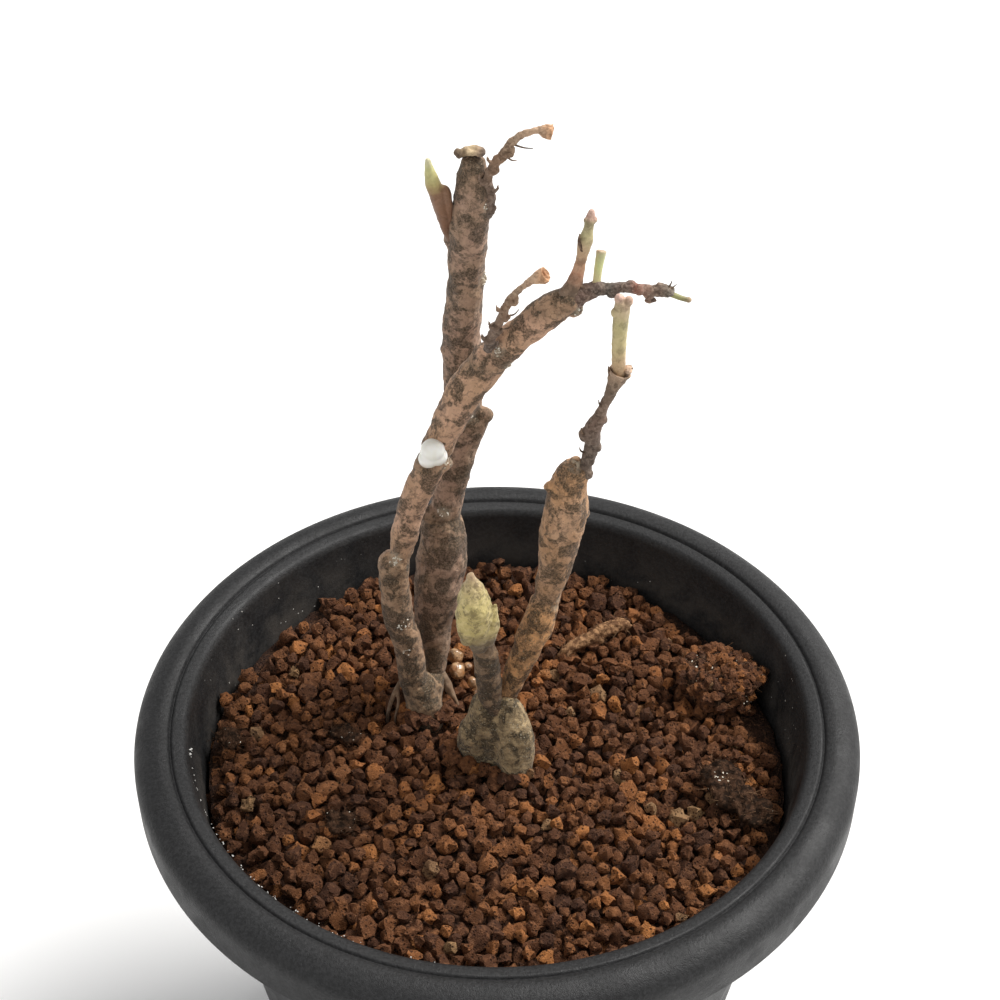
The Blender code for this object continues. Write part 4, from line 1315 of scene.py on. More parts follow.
# %% The green bud on the stub
BUD_ROWS = [
    (-2.0, -4.0, 22.8, 1.3), (-2.5, -4.3, 25.2, 2.0), (-2.6, -4.6, 28.4, 2.15), (-2.75, -4.8, 30.8, 1.75),
    (-2.9, -4.95, 33.0, 1.0), (-3.0, -5.0, 34.3, 0.45),
]
bud_scale = [(-3.3, -5.4, 24.6, 0.9), (-3.7, -5.7, 27.4, 1.05), (-3.8, -5.6, 29.4, 0.6)]
bud_stub = [
    (-1.1, -4.6, 23.6, 0.9), (-0.6, -4.7, 26.4, 0.85), (-0.3, -4.7, 28.6, 0.45), (-0.15, -4.7, 29.5, 0.3),
]
bud = grow_shoot("green_bud_skin", [(BUD_ROWS,), (bud_scale,), (bud_stub,)], voxel=0.12, softening=3,
                 layers=((1.5, 0.22), (0.6, 0.10), (0.35, 0.05)), seed=60.0)
BUD_STOPS = [
    (0.0, (0.16, 0.11, 0.065)), (0.15, (0.30, 0.22, 0.11)), (0.35, (0.60, 0.48, 0.19)),
    (0.7, (0.66, 0.54, 0.22)), (0.92, (0.56, 0.42, 0.22)), (1.0, (0.42, 0.28, 0.17)),
]
bud_skin = shoot_material("bud_skin", 12.0, BUD_STOPS, 0.6, 0.75, 0.2, 0.12, 900.0)
keep_piece(bud, "green_bud", "green_shoot", bud_skin)

# %% The dried spur with its cup, and the shoot in it
SPUR_ROWS = [
    (9.2, 2.3, 42.0, 0.8), (10.0, 2.2, 44.6, 0.75), (10.6, 2.1, 47.2, 0.85), (10.6, 2.0, 49.6, 0.95),
    (11.3, 2.0, 51.4, 0.8), (11.8, 2.0, 53.0, 0.55), (12.5, 2.0, 55.0, 0.7), (13.0, 2.0, 56.6, 1.0),
    (13.3, 2.0, 57.6, 1.3),
]
spur_balls = [
    (
        (9.7, 2.0, 49.0), (0.65, 0.6, 0.95),
    ), ((11.4, 1.9, 51.3), (0.85, 0.8, 0.7)), ((10.4, 1.8, 45.4), (0.6, 0.5, 0.7)),
    ((10.1, 1.8, 43.6), (0.8, 0.7, 0.7)), ((11.3, 1.8, 47.4), (0.4, 0.5, 0.6)), (
        (14.2, 2.0, 57.9), (0.5, 0.8, 0.35),
    ),
]
spur = grow_shoot(
    "dried_spur", [(SPUR_ROWS, {"cup": 1.1 * MM, "sides": 24})], spur_balls,
    layers=((0.9, 0.10), (0.4, 0.06)), seed=70.0,
)
SPUR_STOPS = [
    (0.0, (0.16, 0.110, 0.078)), (0.3, (0.12, 0.085, 0.065)), (0.55, (0.20, 0.130, 0.095)),
    (0.8, (0.18, 0.125, 0.085)), (0.93, (0.34, 0.235, 0.155)), (1.0, (0.60, 0.42, 0.30)),
]
keep_piece(
    spur, "right_spur", "dried_stalk",
    shoot_material("dried_spur_skin", 17.0, SPUR_STOPS, 0.8, 0.65, 0.1, 0.12, 1100.0),
)

SHOOT_ROWS = [
    (13.2, 2.0, 57.0, 0.75), (13.1, 2.1, 59.9, 0.78), (13.1, 2.3, 62.4, 0.82), (13.2, 2.4, 64.8, 0.88),
    (13.3, 2.4, 66.0, 0.85),
]
shoot_balls = [
    ((12.9, 2.3, 66.7), (0.55, 0.55, 0.6)), ((13.9, 2.3, 66.4), (0.5, 0.5, 0.6)),
    ((12.5, 2.2, 65.0), (0.45, 0.5, 0.6)),
]
shoot = grow_shoot("green_shoot_right", [(SHOOT_ROWS, {"sides": 24})], shoot_balls, seed=75.0)
SHOOT_STOPS = [
    (0.0, (0.40, 0.26, 0.15)), (0.18, (0.52, 0.36, 0.20)), (0.35, (0.54, 0.44, 0.22)),
    (0.65, (0.48, 0.42, 0.20)), (0.85, (0.50, 0.38, 0.23)), (0.97, (0.62, 0.40, 0.31)),
    (1.0, (0.66, 0.44, 0.36)),
]
keep_piece(
    shoot, "right_shoot", "green_shoot", shoot_material("green_shoot_skin", 10.4, SHOOT_STOPS, 0.5, 0.45),
)

# %% The dried crown and the side bud of the upright stem
CROWN_TUBES = [
    ([(-4.1, 13.3, 77.6, 0.4), (-3.3, 13.4, 77.9, 0.5), (-2.4, 13.5, 78.0, 0.6), (-1.6, 13.5, 77.8, 0.5)],)
]
crown_growth_balls = [
    (
        (-4.0, 13.2, 77.9), (0.55, 0.5, 0.4),
    ), ((-2.9, 13.1, 78.1), (0.7, 0.5, 0.35)), ((-1.8, 13.3, 77.9), (0.6, 0.6, 0.5)),
    ((-2.4, 13.9, 77.8), (0.7, 0.6, 0.4)), ((-3.4, 13.9, 77.5), (0.5, 0.5, 0.4)),
]
stem_crown = grow_shoot(
    "dried_stem_crown", CROWN_TUBES, crown_growth_balls, layers=((0.6, 0.12), (0.3, 0.06)), seed=80.0,
)
CROWN_STOPS = [
    (0.0, (0.12, 0.08, 0.05)), (0.3, (0.30, 0.21, 0.12)), (0.55, (0.66, 0.50, 0.30)),
    (0.8, (0.36, 0.25, 0.16)), (1.0, (0.16, 0.11, 0.08)),
]
keep_piece(
    stem_crown, "stem_crown", "dried_stalk", shoot_material("dried_crown_skin", 2.7, CROWN_STOPS, 0.8, 0.5),
)

SIDE_ROWS = [
    (-4.7, 14.2, 65.6, 0.45), (-5.5, 14.0, 68.0, 0.5), (-5.9, 13.6, 70.3, 0.75), (-6.3, 13.3, 72.6, 0.9),
    (-6.8, 13.1, 74.2, 0.85), (-7.1, 12.9, 75.8, 0.6), (-7.3, 12.8, 77.3, 0.3),
]
side_sheath = [
    (-5.2, 13.9, 68.8, 0.35), (-5.3, 13.4, 71.4, 0.55), (-5.5, 13.2, 73.2, 0.6), (-5.8, 13.1, 73.9, 0.3),
]
side_bud = grow_shoot("side_bud_skin", [(SIDE_ROWS,), (side_sheath,)], layers=((0.8, 0.06),), seed=85.0)
SIDE_STOPS = [
    (0.0, (0.14, 0.090, 0.060)), (0.25, (0.21, 0.105, 0.060)), (0.66, (0.25, 0.130, 0.070)),
    (0.76, (0.46, 0.38, 0.15)), (0.9, (0.64, 0.62, 0.28)), (1.0, (0.70, 0.66, 0.42)),
]
keep_piece(side_bud, "side_bud", "green_shoot", shoot_material("side_bud_skin", 12.4, SIDE_STOPS, 0.5, 0.25))

# %% The two dried flower stalks
TOP_ROWS = [
    (-1.2, 13.7, 70.0, 0.7), (-0.7, 13.4, 72.4, 0.6), (-0.95, 12.9, 74.8, 0.5), (-0.3, 12.5, 76.9, 0.5),
    (0.9, 12.4, 78.3, 0.55), (1.7, 12.3, 79.7, 0.45), (3.0, 12.2, 80.7, 0.38), (4.3, 12.1, 81.1, 0.40),
    (5.0, 12.0, 81.05, 0.75), (5.8, 11.9, 81.0, 0.85),
]
MIDDLE_ROWS = [
    (-0.9, 7.2, 57.0, 0.6), (-0.6, 6.4, 59.0, 0.55), (0.0, 5.8, 60.8, 0.5), (0.7, 5.5, 62.6, 0.5),
    (1.3, 5.3, 64.4, 0.45), (2.4, 5.0, 66.1, 0.36), (3.6, 4.7, 67.3, 0.42), (4.6, 4.5, 68.0, 0.8),
    (5.2, 4.4, 68.4, 0.88),
]


def bead_stalk(rows, first, last, count, size):
    """Balls and pointed scales where each pair of dried bracts was, from one share of a stalk on."""
    path = smooth_path(rows, 0.1 * MM)
    balls, scales = [], []
    for number in range(count):
        share = first + (last - first) * number / (count - 1)
        place, _ = path[int(share * (len(path) - 1))]
        side = (-1) ** number
        x, y, height = place.x / MM, place.y / MM, (place.z - SOIL_LEVEL) / MM
        wide = size * (0.75 + 0.25 * math.sin(number * 2.3))
        balls.append(((x + 0.28 * side, y - 0.2, height), (wide, wide, wide * 0.6)))
        root = (x + 0.4 * side, y - 0.3, height, 0.26)
        middle = (x + 0.8 * side, y - 0.5, height + 0.35, 0.19)
        scales.append(([root, middle, (x + 0.95 * side, y - 0.55, height + 0.95, 0.07)], {"sides": 10}))
    return balls, scales


STALK_STOPS = [
    (0.0, (0.13, 0.095, 0.075)), (0.3, (0.20, 0.13, 0.09)), (0.55, (0.27, 0.165, 0.10)),
    (0.7, (0.38, 0.26, 0.17)), (0.88, (0.56, 0.37, 0.24)), (1.0, (0.66, 0.36, 0.19)),
]
for name, node, rows, length in (
    ("top_flower_stalk", "top_peduncle", TOP_ROWS, 15.6),
    ("middle_flower_stalk", "middle_peduncle", MIDDLE_ROWS, 14.2),
):
    beads, scales = bead_stalk(rows, 0.05, 0.60, 7, 0.72)
    tubes = [(rows, {"cup": 0.9 * MM, "sides": 24}), *scales]
    stalk = grow_shoot(
        name, tubes, beads, voxel=0.07, softening=1, layers=((0.6, 0.12), (0.3, 0.07)), seed=90.0,
    )
    keep_piece(
        stalk, node, "dried_stalk",
        shoot_material(name + "_skin", length, STALK_STOPS, 0.8, 0.6, 0.1, 0.1, 1300.0),
    )

# %% The shoots and the rough twig at the end of the arching stem
UPRIGHT_ROWS = [
    (7.5, 7.0, 63.4, 1.2), (8.2, 7.1, 65.0, 1.0), (8.7, 7.3, 66.8, 0.7), (9.1, 7.6, 68.6, 0.6),
    (9.4, 7.9, 70.2, 0.8), (9.7, 8.1, 71.6, 0.55), (9.9, 8.5, 72.7, 0.55), (10.0, 8.7, 73.5, 0.3),
]
upright_balls = [
    ((8.9, 7.8, 70.3), (0.35, 0.4, 0.8)), ((9.5, 8.3, 72.6), (0.35, 0.35, 0.35)),
    ((10.35, 8.4, 72.6), (0.3, 0.35, 0.35)), ((7.4, 6.6, 64.6), (0.8, 0.7, 0.9)),
]
upright = grow_shoot("upright_shoot_skin", [(UPRIGHT_ROWS,)], upright_balls, layers=((0.7, 0.08),), seed=95.0)
UPRIGHT_STOPS = [
    (0.0, (0.16, 0.115, 0.08)), (0.2, (0.24, 0.155, 0.10)), (0.34, (0.44, 0.22, 0.13)),
    (0.6, (0.50, 0.35, 0.21)), (0.78, (0.48, 0.42, 0.22)), (0.86, (0.42, 0.36, 0.20)),
    (0.94, (0.60, 0.38, 0.30)), (1.0, (0.66, 0.44, 0.36)),
]
keep_piece(
    upright, "upright_shoot", "green_shoot",
    shoot_material("upright_shoot_skin", 10.6, UPRIGHT_STOPS, 0.6, 0.5),
)

PALE_ROWS = [(10.7, 7.0, 65.2, 0.5), (10.8, 7.3, 66.3, 0.45), (11.0, 7.8, 67.8, 0.5), (11.2, 8.2, 68.9, 0.58)]
pale_shoot = grow_shoot(
    "pale_shoot_skin", [(PALE_ROWS, {"blunt": 0.15})], layers=((0.7, 0.03),), softening=1, seed=97.0,
)
PALE_STOPS = [
    (0.0, (0.40, 0.30, 0.18)), (0.2, (0.62, 0.55, 0.28)), (0.6, (0.60, 0.62, 0.28)),
    (0.86, (0.52, 0.50, 0.28)), (1.0, (0.50, 0.34, 0.24)),
]
keep_piece(
    pale_shoot, "pale_shoot", "green_shoot", shoot_material("pale_shoot_skin", 4.1, PALE_STOPS, 0.45, 0.12),
)

TWIG_ROWS = [
    (7.8, 6.9, 63.2, 1.1), (9.2, 7.0, 64.2, 1.05), (10.6, 7.0, 64.9, 0.85), (12.0, 7.0, 64.9, 0.65),
    (13.6, 7.0, 65.1, 0.62), (15.2, 7.0, 64.9, 0.6), (16.9, 7.0, 64.7, 0.62), (18.2, 7.0, 64.6, 0.75),
    (18.8, 7.0, 64.6, 0.6),
]
twig_balls = [
    ((9.3, 6.8, 64.4), (0.9, 0.8, 1.0)), (
        (10.9, 6.9, 65.4), (0.6, 0.7, 0.6),
    ), ((12.5, 6.8, 64.5), (0.7, 0.6, 0.5)),
    (
        (14.3, 6.9, 65.4), (0.8, 0.6, 0.45),
    ), ((15.3, 6.7, 65.0), (0.45, 0.6, 0.7)), ((16.3, 6.8, 64.3), (0.6, 0.6, 0.5)),
    (
        (16.6, 6.7, 63.6), (0.7, 0.4, 0.25),
    ), ((18.0, 6.9, 64.9), (0.75, 0.7, 0.6)), ((17.6, 7.0, 65.2), (0.5, 0.5, 0.4)),
]
twig = grow_shoot(
    "rough_twig", [(TWIG_ROWS,)], twig_balls, softening=1, layers=((0.8, 0.14), (0.35, 0.09)), seed=99.0,
)
TWIG_STOPS = [
    (0.0, (0.20, 0.125, 0.10)), (0.2, (0.20, 0.13, 0.10)), (0.4, (0.11, 0.09, 0.075)),
    (0.6, (0.16, 0.105, 0.085)), (0.68, (0.30, 0.14, 0.10)), (0.8, (0.24, 0.16, 0.12)),
    (1.0, (0.17, 0.14, 0.11)),
]
keep_piece(
    twig, "side_twig", "dried_stalk",
    shoot_material("rough_twig_skin", 11.6, TWIG_STOPS, 0.85, 0.7, 0.1, 0.14, 1400.0),
)

TIP_ROWS = [(18.3, 7.0, 64.6, 0.4), (19.1, 7.0, 64.1, 0.34), (20.0, 7.0, 63.7, 0.3), (20.7, 7.0, 63.5, 0.3)]
tip = grow_shoot(
    "green_twig_tip", [(TIP_ROWS,)], [((20.75, 7.0, 63.5), (0.36, 0.34, 0.32))], voxel=0.07,
    layers=((0.5, 0.03),), seed=101.0,
)
TIP_STOPS = [
    (0.0, (0.28, 0.24, 0.12)), (0.5, (0.34, 0.34, 0.14)), (0.85, (0.24, 0.20, 0.10)),
    (1.0, (0.44, 0.32, 0.20)),
]
keep_piece(tip, "twig_tip", "green_shoot", shoot_material("green_tip_skin", 2.8, TIP_STOPS, 0.5, 0.2))

# %% [markdown]
# ## Roots, latex and amber grains
# Two thin roots leave the rear crown for the soil. A drop of milky latex has dried on the arching stem
# like ivory, and a few amber grains of slow-release feed lie between the two crowns.

# %% Two surface roots
ROOT_STOPS = [(0.0, (0.16, 0.105, 0.065)), (0.5, (0.24, 0.15, 0.09)), (1.0, (0.14, 0.085, 0.052))]
root_skin = shoot_material("root_skin", 8.0, ROOT_STOPS, 0.85, 0.4)
TAN_ROOT_ROWS = [
    (-7.6, 9.9, 4.2, 0.7), (-6.7, 9.3, 3.0, 0.6), (-6.0, 8.7, 1.2, 0.55), (-5.6, 8.2, -0.6, 0.5),
    (-5.4, 7.9, -3.0, 0.4),
]
TAN_FORK_ROWS = [
    (-6.3, 9.0, 2.2, 0.35), (-5.6, 8.2, 1.2, 0.28), (-5.1, 7.6, 0.1, 0.2), (-4.9, 7.3, -1.0, 0.15),
]
tan_root = grow_shoot(
    "tan_crown_root", [(TAN_ROOT_ROWS,), (TAN_FORK_ROWS,)], seed=110.0, layers=((0.8, 0.12),),
)
keep_piece(tan_root, "crown_root", "pale_root", root_skin)

THIN_ROOT_ROWS = [
    (-11.2, 7.3, 7.2, 0.42), (-12.2, 7.2, 5.6, 0.32), (-13.1, 6.9, 3.7, 0.34), (-13.9, 6.5, 1.6, 0.27),
    (-14.3, 6.2, -0.5, 0.22), (-14.4, 6.1, -3.0, 0.18),
]
THIN_FORK_ROWS = [
    (-12.9, 7.0, 4.2, 0.28), (-12.8, 6.2, 2.2, 0.2), (-13.2, 5.6, 0.5, 0.16), (-13.3, 5.4, -0.8, 0.12),
]
thin_root = grow_shoot("thin_surface_root", [(THIN_ROOT_ROWS,), (THIN_FORK_ROWS,)], voxel=0.07, seed=113.0)
keep_piece(thin_root, "thin_root", "pale_root", root_skin)

# %% The latex drop


def latex_material():
    made, tree, shader, place = start_material("dried_latex", 0.32)
    shader.inputs["Subsurface Weight"].default_value = 0.12
    shader.inputs["Subsurface Radius"].default_value = (1.0, 0.8, 0.6)
    shader.inputs["Subsurface Scale"].default_value = 0.0006
    shader.inputs["Coat Weight"].default_value = 0.25
    runs = add_node(tree, "ShaderNodeMapping", {"Vector": place, "Scale": (1.0, 1.0, 0.25)}).outputs[0]
    tone = fit(tree, cloud(tree, runs, 900.0, 2.0), 0.35, 0.7)
    low = add_node(tree, "ShaderNodeSeparateXYZ", {0: place}).outputs[2]
    foot = fit(tree, low, SOIL_LEVEL + 41.2 * MM, SOIL_LEVEL + 42.6 * MM, 0.6, 0.0)
    ivory = blend(tree, tone, rgb(0.93, 0.90, 0.80), rgb(0.98, 0.97, 0.92))
    colour = blend(tree, foot, ivory, rgb(0.52, 0.42, 0.30))
    wire(tree, shader, Base_Color=colour, Normal=bump(tree, cloud(tree, runs, 1500.0, 2.0), 0.05 * MM, 0.4))
    return made


shape = bmesh.new()
add_ball(shape, (-7.35, 6.2, 43.6), (1.45, 1.3, 1.35))
add_ball(shape, (-7.9, 6.3, 42.3), (1.25, 1.2, 1.15))
add_ball(shape, (-6.9, 6.4, 42.6), (1.25, 1.2, 1.2))
latex = fuse(shape, "latex_drop_skin", 0.12 * MM, 6)
lump_skin(latex.data, [(1.6, 0.10)], 120.0)
keep_piece(latex, "latex_drop", "dried_latex", latex_material())

# %% Amber grains


def amber_material():
    made, tree, shader, place = start_material("amber_grain", 0.28)
    shader.inputs["Transmission Weight"].default_value = 0.35
    shader.inputs["Coat Weight"].default_value = 0.3
    tone = fit(tree, cloud(tree, place, 900.0, 3.0), 0.35, 0.65)
    honey = blend(tree, tone, rgb(0.42, 0.19, 0.07), rgb(0.78, 0.50, 0.27))
    patch = place_group(tree, PATCHES, Vector=place, Scale=900.0, Level=0.56, Softness=0.05)["Mask"]
    colour = blend(tree, math_node(tree, "MULTIPLY", patch, 0.7), honey, rgb(0.13, 0.05, 0.02))
    relief = place_group(tree, RELIEF, Vector=place, Scale=1300.0, Pores=0.3, Grain=0.1)["Height"]
    wire(tree, shader, Base_Color=colour, Normal=bump(tree, relief, 0.12 * MM, 0.7))
    return made


amber = amber_material()
for number in range(1, 6):
    low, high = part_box(f"golden_grain_{number}")
    middle, half = (low + high) / 2, (high - low) / 2
    shape = bmesh.new()
    swell = Matrix.Translation(middle) @ Matrix.Diagonal((*half, 1.0))
    bmesh.ops.create_icosphere(shape, subdivisions=4, radius=1.0, matrix=swell)
    grain = new_object(f"amber_grain_{number}", finished(shape, "amber_grain"))
    lump_skin(grain.data, [(1.1, 0.28), (0.4, 0.07)], 130.0 + number)
    keep_piece(grain, f"golden_grain_{number}", "amber_grain", amber)

# %% [markdown]
# ## Clods and the bark mound
# Scraps of peat and root fibre lie on the clay. Each is a rough fused lump. Fibres as thin bent
# spikes then stand out of it in every direction, scattered over its faces by a Geometry Nodes tree, and
# crumbs of clay stick to the mound.

# %% A tree that scatters bent spikes


def add_spike(tree, width, flatness, curl):
    """Nodes for one tapering spike, a unit long, that curls sideways. Returns its mesh."""
    rod = {"Vertices": 5, "Side Segments": 4, "Radius Top": 0.02, "Radius Bottom": width, "Depth": 1.0}
    cone = add_node(tree, "GeometryNodeMeshCone", rod).outputs[0]
    place = add_node(tree, "GeometryNodeInputPosition").outputs[0]
    axes = add_node(tree, "ShaderNodeSeparateXYZ", {0: place}).outputs
    thin = math_node(tree, "MULTIPLY", axes[1], flatness)
    squared = math_node(tree, "MULTIPLY", axes[2], axes[2])
    swing = math_node(tree, "ADD", axes[0], math_node(tree, "MULTIPLY", squared, curl))
    bent = add_node(tree, "ShaderNodeCombineXYZ", {0: swing, 1: thin, 2: axes[2]}).outputs[0]
    return add_node(tree, "GeometryNodeSetPosition", {"Geometry": cone, "Position": bent}).outputs[0]


def random_value(tree, low, high, seed):
    """A random number for each point, between two values."""
    made = add_node(tree, "FunctionNodeRandomValue", {"Seed": seed}, data_type="FLOAT")
    for key, value in ((2, low), (3, high)):
        if isinstance(value, bpy.types.NodeSocket):
            tree.links.new(value, made.inputs[key])
        else:
            made.inputs[key].default_value = value
    return made.outputs[1]


def build_fibre_tree():
    inputs = {
        "Density": ("Float", 1e6),
        "Shortest": ("Float", 0.0005),
        "Longest": ("Float", 0.0015),
        "Width": ("Float", 0.05),
        "Rise": ("Float", 0.6),
        "Curl": ("Float", 0.5),
        "Seed": ("Int", 1),
        "Material": ("Material", None),
    }
    tree, given, result = start_geometry_tree("Scattered fibres", inputs)
    spread = {"Mesh": given["Geometry"], "Density": given["Density"], "Seed": given["Seed"]}
    found = add_node(tree, "GeometryNodeDistributePointsOnFaces", spread)
    anywhere = add_node(
        tree, "FunctionNodeRandomValue", {"Seed": given["Seed"]}, data_type="FLOAT_VECTOR"
    )
    anywhere.inputs[0].default_value = (-1.0, -1.0, -1.0)
    anywhere.inputs[1].default_value = (1.0, 1.0, 1.0)
    upward = vector_node(tree, "SCALE", found.outputs["Normal"], scale=given["Rise"])
    facing = vector_node(tree, "ADD", upward, anywhere.outputs[0])
    turned_to = add_node(tree, "FunctionNodeAlignRotationToVector", {"Vector": facing}, axis="Z")
    spike = add_spike(tree, given["Width"], 1.0, given["Curl"])
    length = random_value(tree, given["Shortest"], given["Longest"], 4)
    copies = {"Points": found.outputs["Points"], "Instance": spike, "Scale": length}
    copies["Rotation"] = turned_to.outputs[0]
    placed = add_node(tree, "GeometryNodeInstanceOnPoints", copies).outputs[0]
    plain = add_node(tree, "GeometryNodeRealizeInstances", {0: placed}).outputs[0]
    smooth = add_node(tree, "GeometryNodeSetShadeSmooth", {"Geometry": plain}).outputs[0]
    finish = {"Geometry": smooth, "Material": given["Material"]}
    done = add_node(tree, "GeometryNodeSetMaterial", finish).outputs[0]
    tree.links.new(done, result.inputs[0])
    return tree


FIBRES = build_fibre_tree()

# %% A tree that scatters crumbs and crystals


def build_crumb_tree():
    """Geometry tree: small oval crumbs scattered over faces, thinned by a mask."""
    inputs = {
        "Density": ("Float", 1e6),
        "Where": ("Float", 1.0),
        "Smallest": ("Float", 0.00008),
        "Largest": ("Float", 0.0002),
        "Seed": ("Int", 1),
        "Material": ("Material", None),
    }
    tree, given, result = start_geometry_tree("Scattered crumbs", inputs)
    mask = add_node(tree, "GeometryNodeInputNamedAttribute", {0: "crumbs"}, data_type="FLOAT").outputs[0]
    density = math_node(tree, "MULTIPLY", given["Density"], mask)
    spread = {"Mesh": given["Geometry"], "Density": density, "Seed": given["Seed"]}
    found = add_node(tree, "GeometryNodeDistributePointsOnFaces", spread).outputs["Points"]
    ball = add_node(tree, "GeometryNodeMeshIcoSphere", {"Radius": 1.0, "Subdivisions": 1}).outputs[0]
    size = random_value(tree, given["Smallest"], given["Largest"], given["Seed"])
    long = math_node(tree, "MULTIPLY", size, 1.7)
    scale = add_node(tree, "ShaderNodeCombineXYZ", {0: size, 1: long, 2: size}).outputs[0]
    spin = add_node(tree, "FunctionNodeRandomValue", {"Seed": given["Seed"]}, data_type="FLOAT_VECTOR")
    spin.inputs[1].default_value = (math.tau, math.tau, math.tau)
    copies = {"Points": found, "Instance": ball, "Scale": scale, "Rotation": spin.outputs[0]}
    placed = add_node(tree, "GeometryNodeInstanceOnPoints", copies).outputs[0]
    plain = add_node(tree, "GeometryNodeRealizeInstances", {0: placed}).outputs[0]
    finish = {"Geometry": plain, "Material": given["Material"]}
    done = add_node(tree, "GeometryNodeSetMaterial", finish).outputs[0]
    tree.links.new(done, result.inputs[0])
    return tree


CRUMBS = build_crumb_tree()
print("trees:", FIBRES.name, "and", CRUMBS.name)


def scatter(name, host, tree, slot, material, mask=None, **values):
    """One piece scattered over a host's faces. mask gives each point's share of the density."""
    mesh = host.data.copy()
    if mask:
        shares = [mask(point.co) for point in mesh.vertices]
        mesh.attributes.new("crumbs", "FLOAT", "POINT").data.foreach_set("value", shares)
    piece = grow_from_tree(name, mesh, tree, Material=material, **values)
    piece.data.materials.clear()
    return keep_piece(piece, None, slot, material)


def everywhere(spot):
    """A mask that is 1 all over."""
    return 1.0


# %% Fibre and crumb materials


def fibre_material(name, dark, light, roughness=0.85):
    """Peat or root fibre, from a dark to a light colour, with a few pale glints."""
    made, tree, shader, place = start_material(name, roughness)
    shader.inputs["Specular IOR Level"].default_value = 0.12
    tone = fit(tree, cloud(tree, place, 1400.0, 3.0), 0.40, 0.62)
    glint = place_group(tree, SPECKS, Vector=place, Scale=2600.0, Share=0.25, Size=0.4)["Mask"]
    base = blend(tree, tone, rgb(*dark), rgb(*light))
    colour = blend(tree, math_node(tree, "MULTIPLY", glint, 0.22), base, rgb(0.34, 0.20, 0.12))
    relief = place_group(tree, RELIEF, Vector=place, Scale=1700.0, Pores=0.6, Grain=0.6)["Height"]
    wire(tree, shader, Base_Color=colour, Normal=bump(tree, relief, 0.2 * MM, 0.9))
    return made


def plain_grain_material(name, first, second, roughness=0.5):
    """A crystal or mineral crumb, between two colours."""
    made, tree, shader, place = start_material(name, roughness)
    tone = fit(tree, cloud(tree, place, 2500.0, 2.0), 0.40, 0.60)
    wire(tree, shader, Base_Color=blend(tree, tone, rgb(*first), rgb(*second)))
    return made


peat = fibre_material("dark_peat", (0.017, 0.009, 0.005), (0.068, 0.034, 0.019))
dark_fibre = fibre_material("dark_fibre", (0.026, 0.014, 0.008), (0.105, 0.054, 0.030))
tan_fibre = fibre_material("tan_fibre", (0.13, 0.065, 0.035), (0.32, 0.19, 0.105))
cream_crystal = plain_grain_material("cream_crystal", (0.62, 0.54, 0.42), (0.86, 0.82, 0.72), 0.35)
mineral = plain_grain_material("hard_water_mineral", (0.55, 0.53, 0.50), (0.85, 0.84, 0.80), 0.5)
print("fibre and crumb materials: 5")

# %% Small dark scraps
for number, node in enumerate(("small_clod_left", "small_clod_middle", "small_clod_front")):
    low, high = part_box(node)
    middle, half = (low + high) / 2, (high - low) / 2
    shape = bmesh.new()
    for part in range(5):
        shift = Vector((math.sin(part * 2.1 + number), math.cos(part * 2.7 + number * 2), 0.0)) * 0.8 * MM
        size = Matrix.Diagonal((1.15 * MM, 0.9 * MM, half.z * (0.95 - 0.08 * part), 1.0))
        spot = Matrix.Translation(Vector((middle.x, middle.y, low.z + half.z)) + shift)
        bmesh.ops.create_icosphere(shape, subdivisions=3, radius=1.0, matrix=spot @ size)
    scrap = fuse(shape, node + "_scrap", 0.14 * MM, 1)
    lump_skin(scrap.data, [(1.1, 0.5), (0.45, 0.22)], 140.0 + number)
    keep_piece(scrap, node, "dark_scrap", peat)
    values = {"Density": 7e6, "Shortest": 0.5 * MM, "Longest": 1.3 * MM, "Width": 0.035, "Curl": 0.7}
    scatter(node + "_fibres", scrap, FIBRES, "root_fibre", dark_fibre, Seed=number, **values)
    crumbs = {"Density": 0.3e6, "Smallest": 0.05 * MM, "Largest": 0.09 * MM}
    scatter(node + "_crumbs", scrap, CRUMBS, "root_fibre", cream_crystal, everywhere, Seed=number, **crumbs)

# %% The dark fibrous clod
low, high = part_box("fibrous_clod")
middle, half = (low + high) / 2, (high - low) / 2
CLOD_BACK = Vector((low.x + half.x * 0.55, high.y - half.y * 0.5, 0.0))
CLOD_FRONT = Vector((high.x - half.x * 0.25, low.y + half.y * 0.4, 0.0))
shape = bmesh.new()
for part in range(9):
    share = part / 8
    width = half.x * (0.58 - 0.36 * share)
    spot = CLOD_BACK.lerp(CLOD_FRONT, share) + Vector(
        (math.sin(part * 2.4), math.cos(part * 3.1), 0.0)
    ) * 0.55 * MM
    rise = half.z * (0.80 - 0.42 * share - 0.10 * (part % 2))
    spot.z = low.z + half.z * 0.55 + rise * 0.5
    size = Matrix.Diagonal((width, width * 1.1, rise, 1.0))
    bmesh.ops.create_icosphere(shape, subdivisions=3, radius=1.0, matrix=Matrix.Translation(spot) @ size)
clod = fuse(shape, "fibrous_clod_body", 0.2 * MM, 1)
lump_skin(clod.data, [(2.2, 0.8), (0.8, 0.4), (0.4, 0.15)], 150.0)
keep_piece(clod, "fibrous_clod", "root_fibre", peat)
values = {"Density": 2.0e6, "Shortest": 0.5 * MM, "Longest": 1.3 * MM, "Width": 0.035, "Curl": 0.6}
scatter("fibrous_clod_fibres", clod, FIBRES, "root_fibre", dark_fibre, Seed=5, **values)
values = {"Density": 0.35e6, "Shortest": 0.8 * MM, "Longest": 1.7 * MM, "Width": 0.028, "Curl": 0.8}
scatter("fibrous_clod_threads", clod, FIBRES, "root_fibre", tan_fibre, Seed=6, **values)
tip_spot = Vector((CLOD_BACK.x, CLOD_BACK.y, high.z))
glints = {"Density": 1.2e6, "Smallest": 0.05 * MM, "Largest": 0.12 * MM}


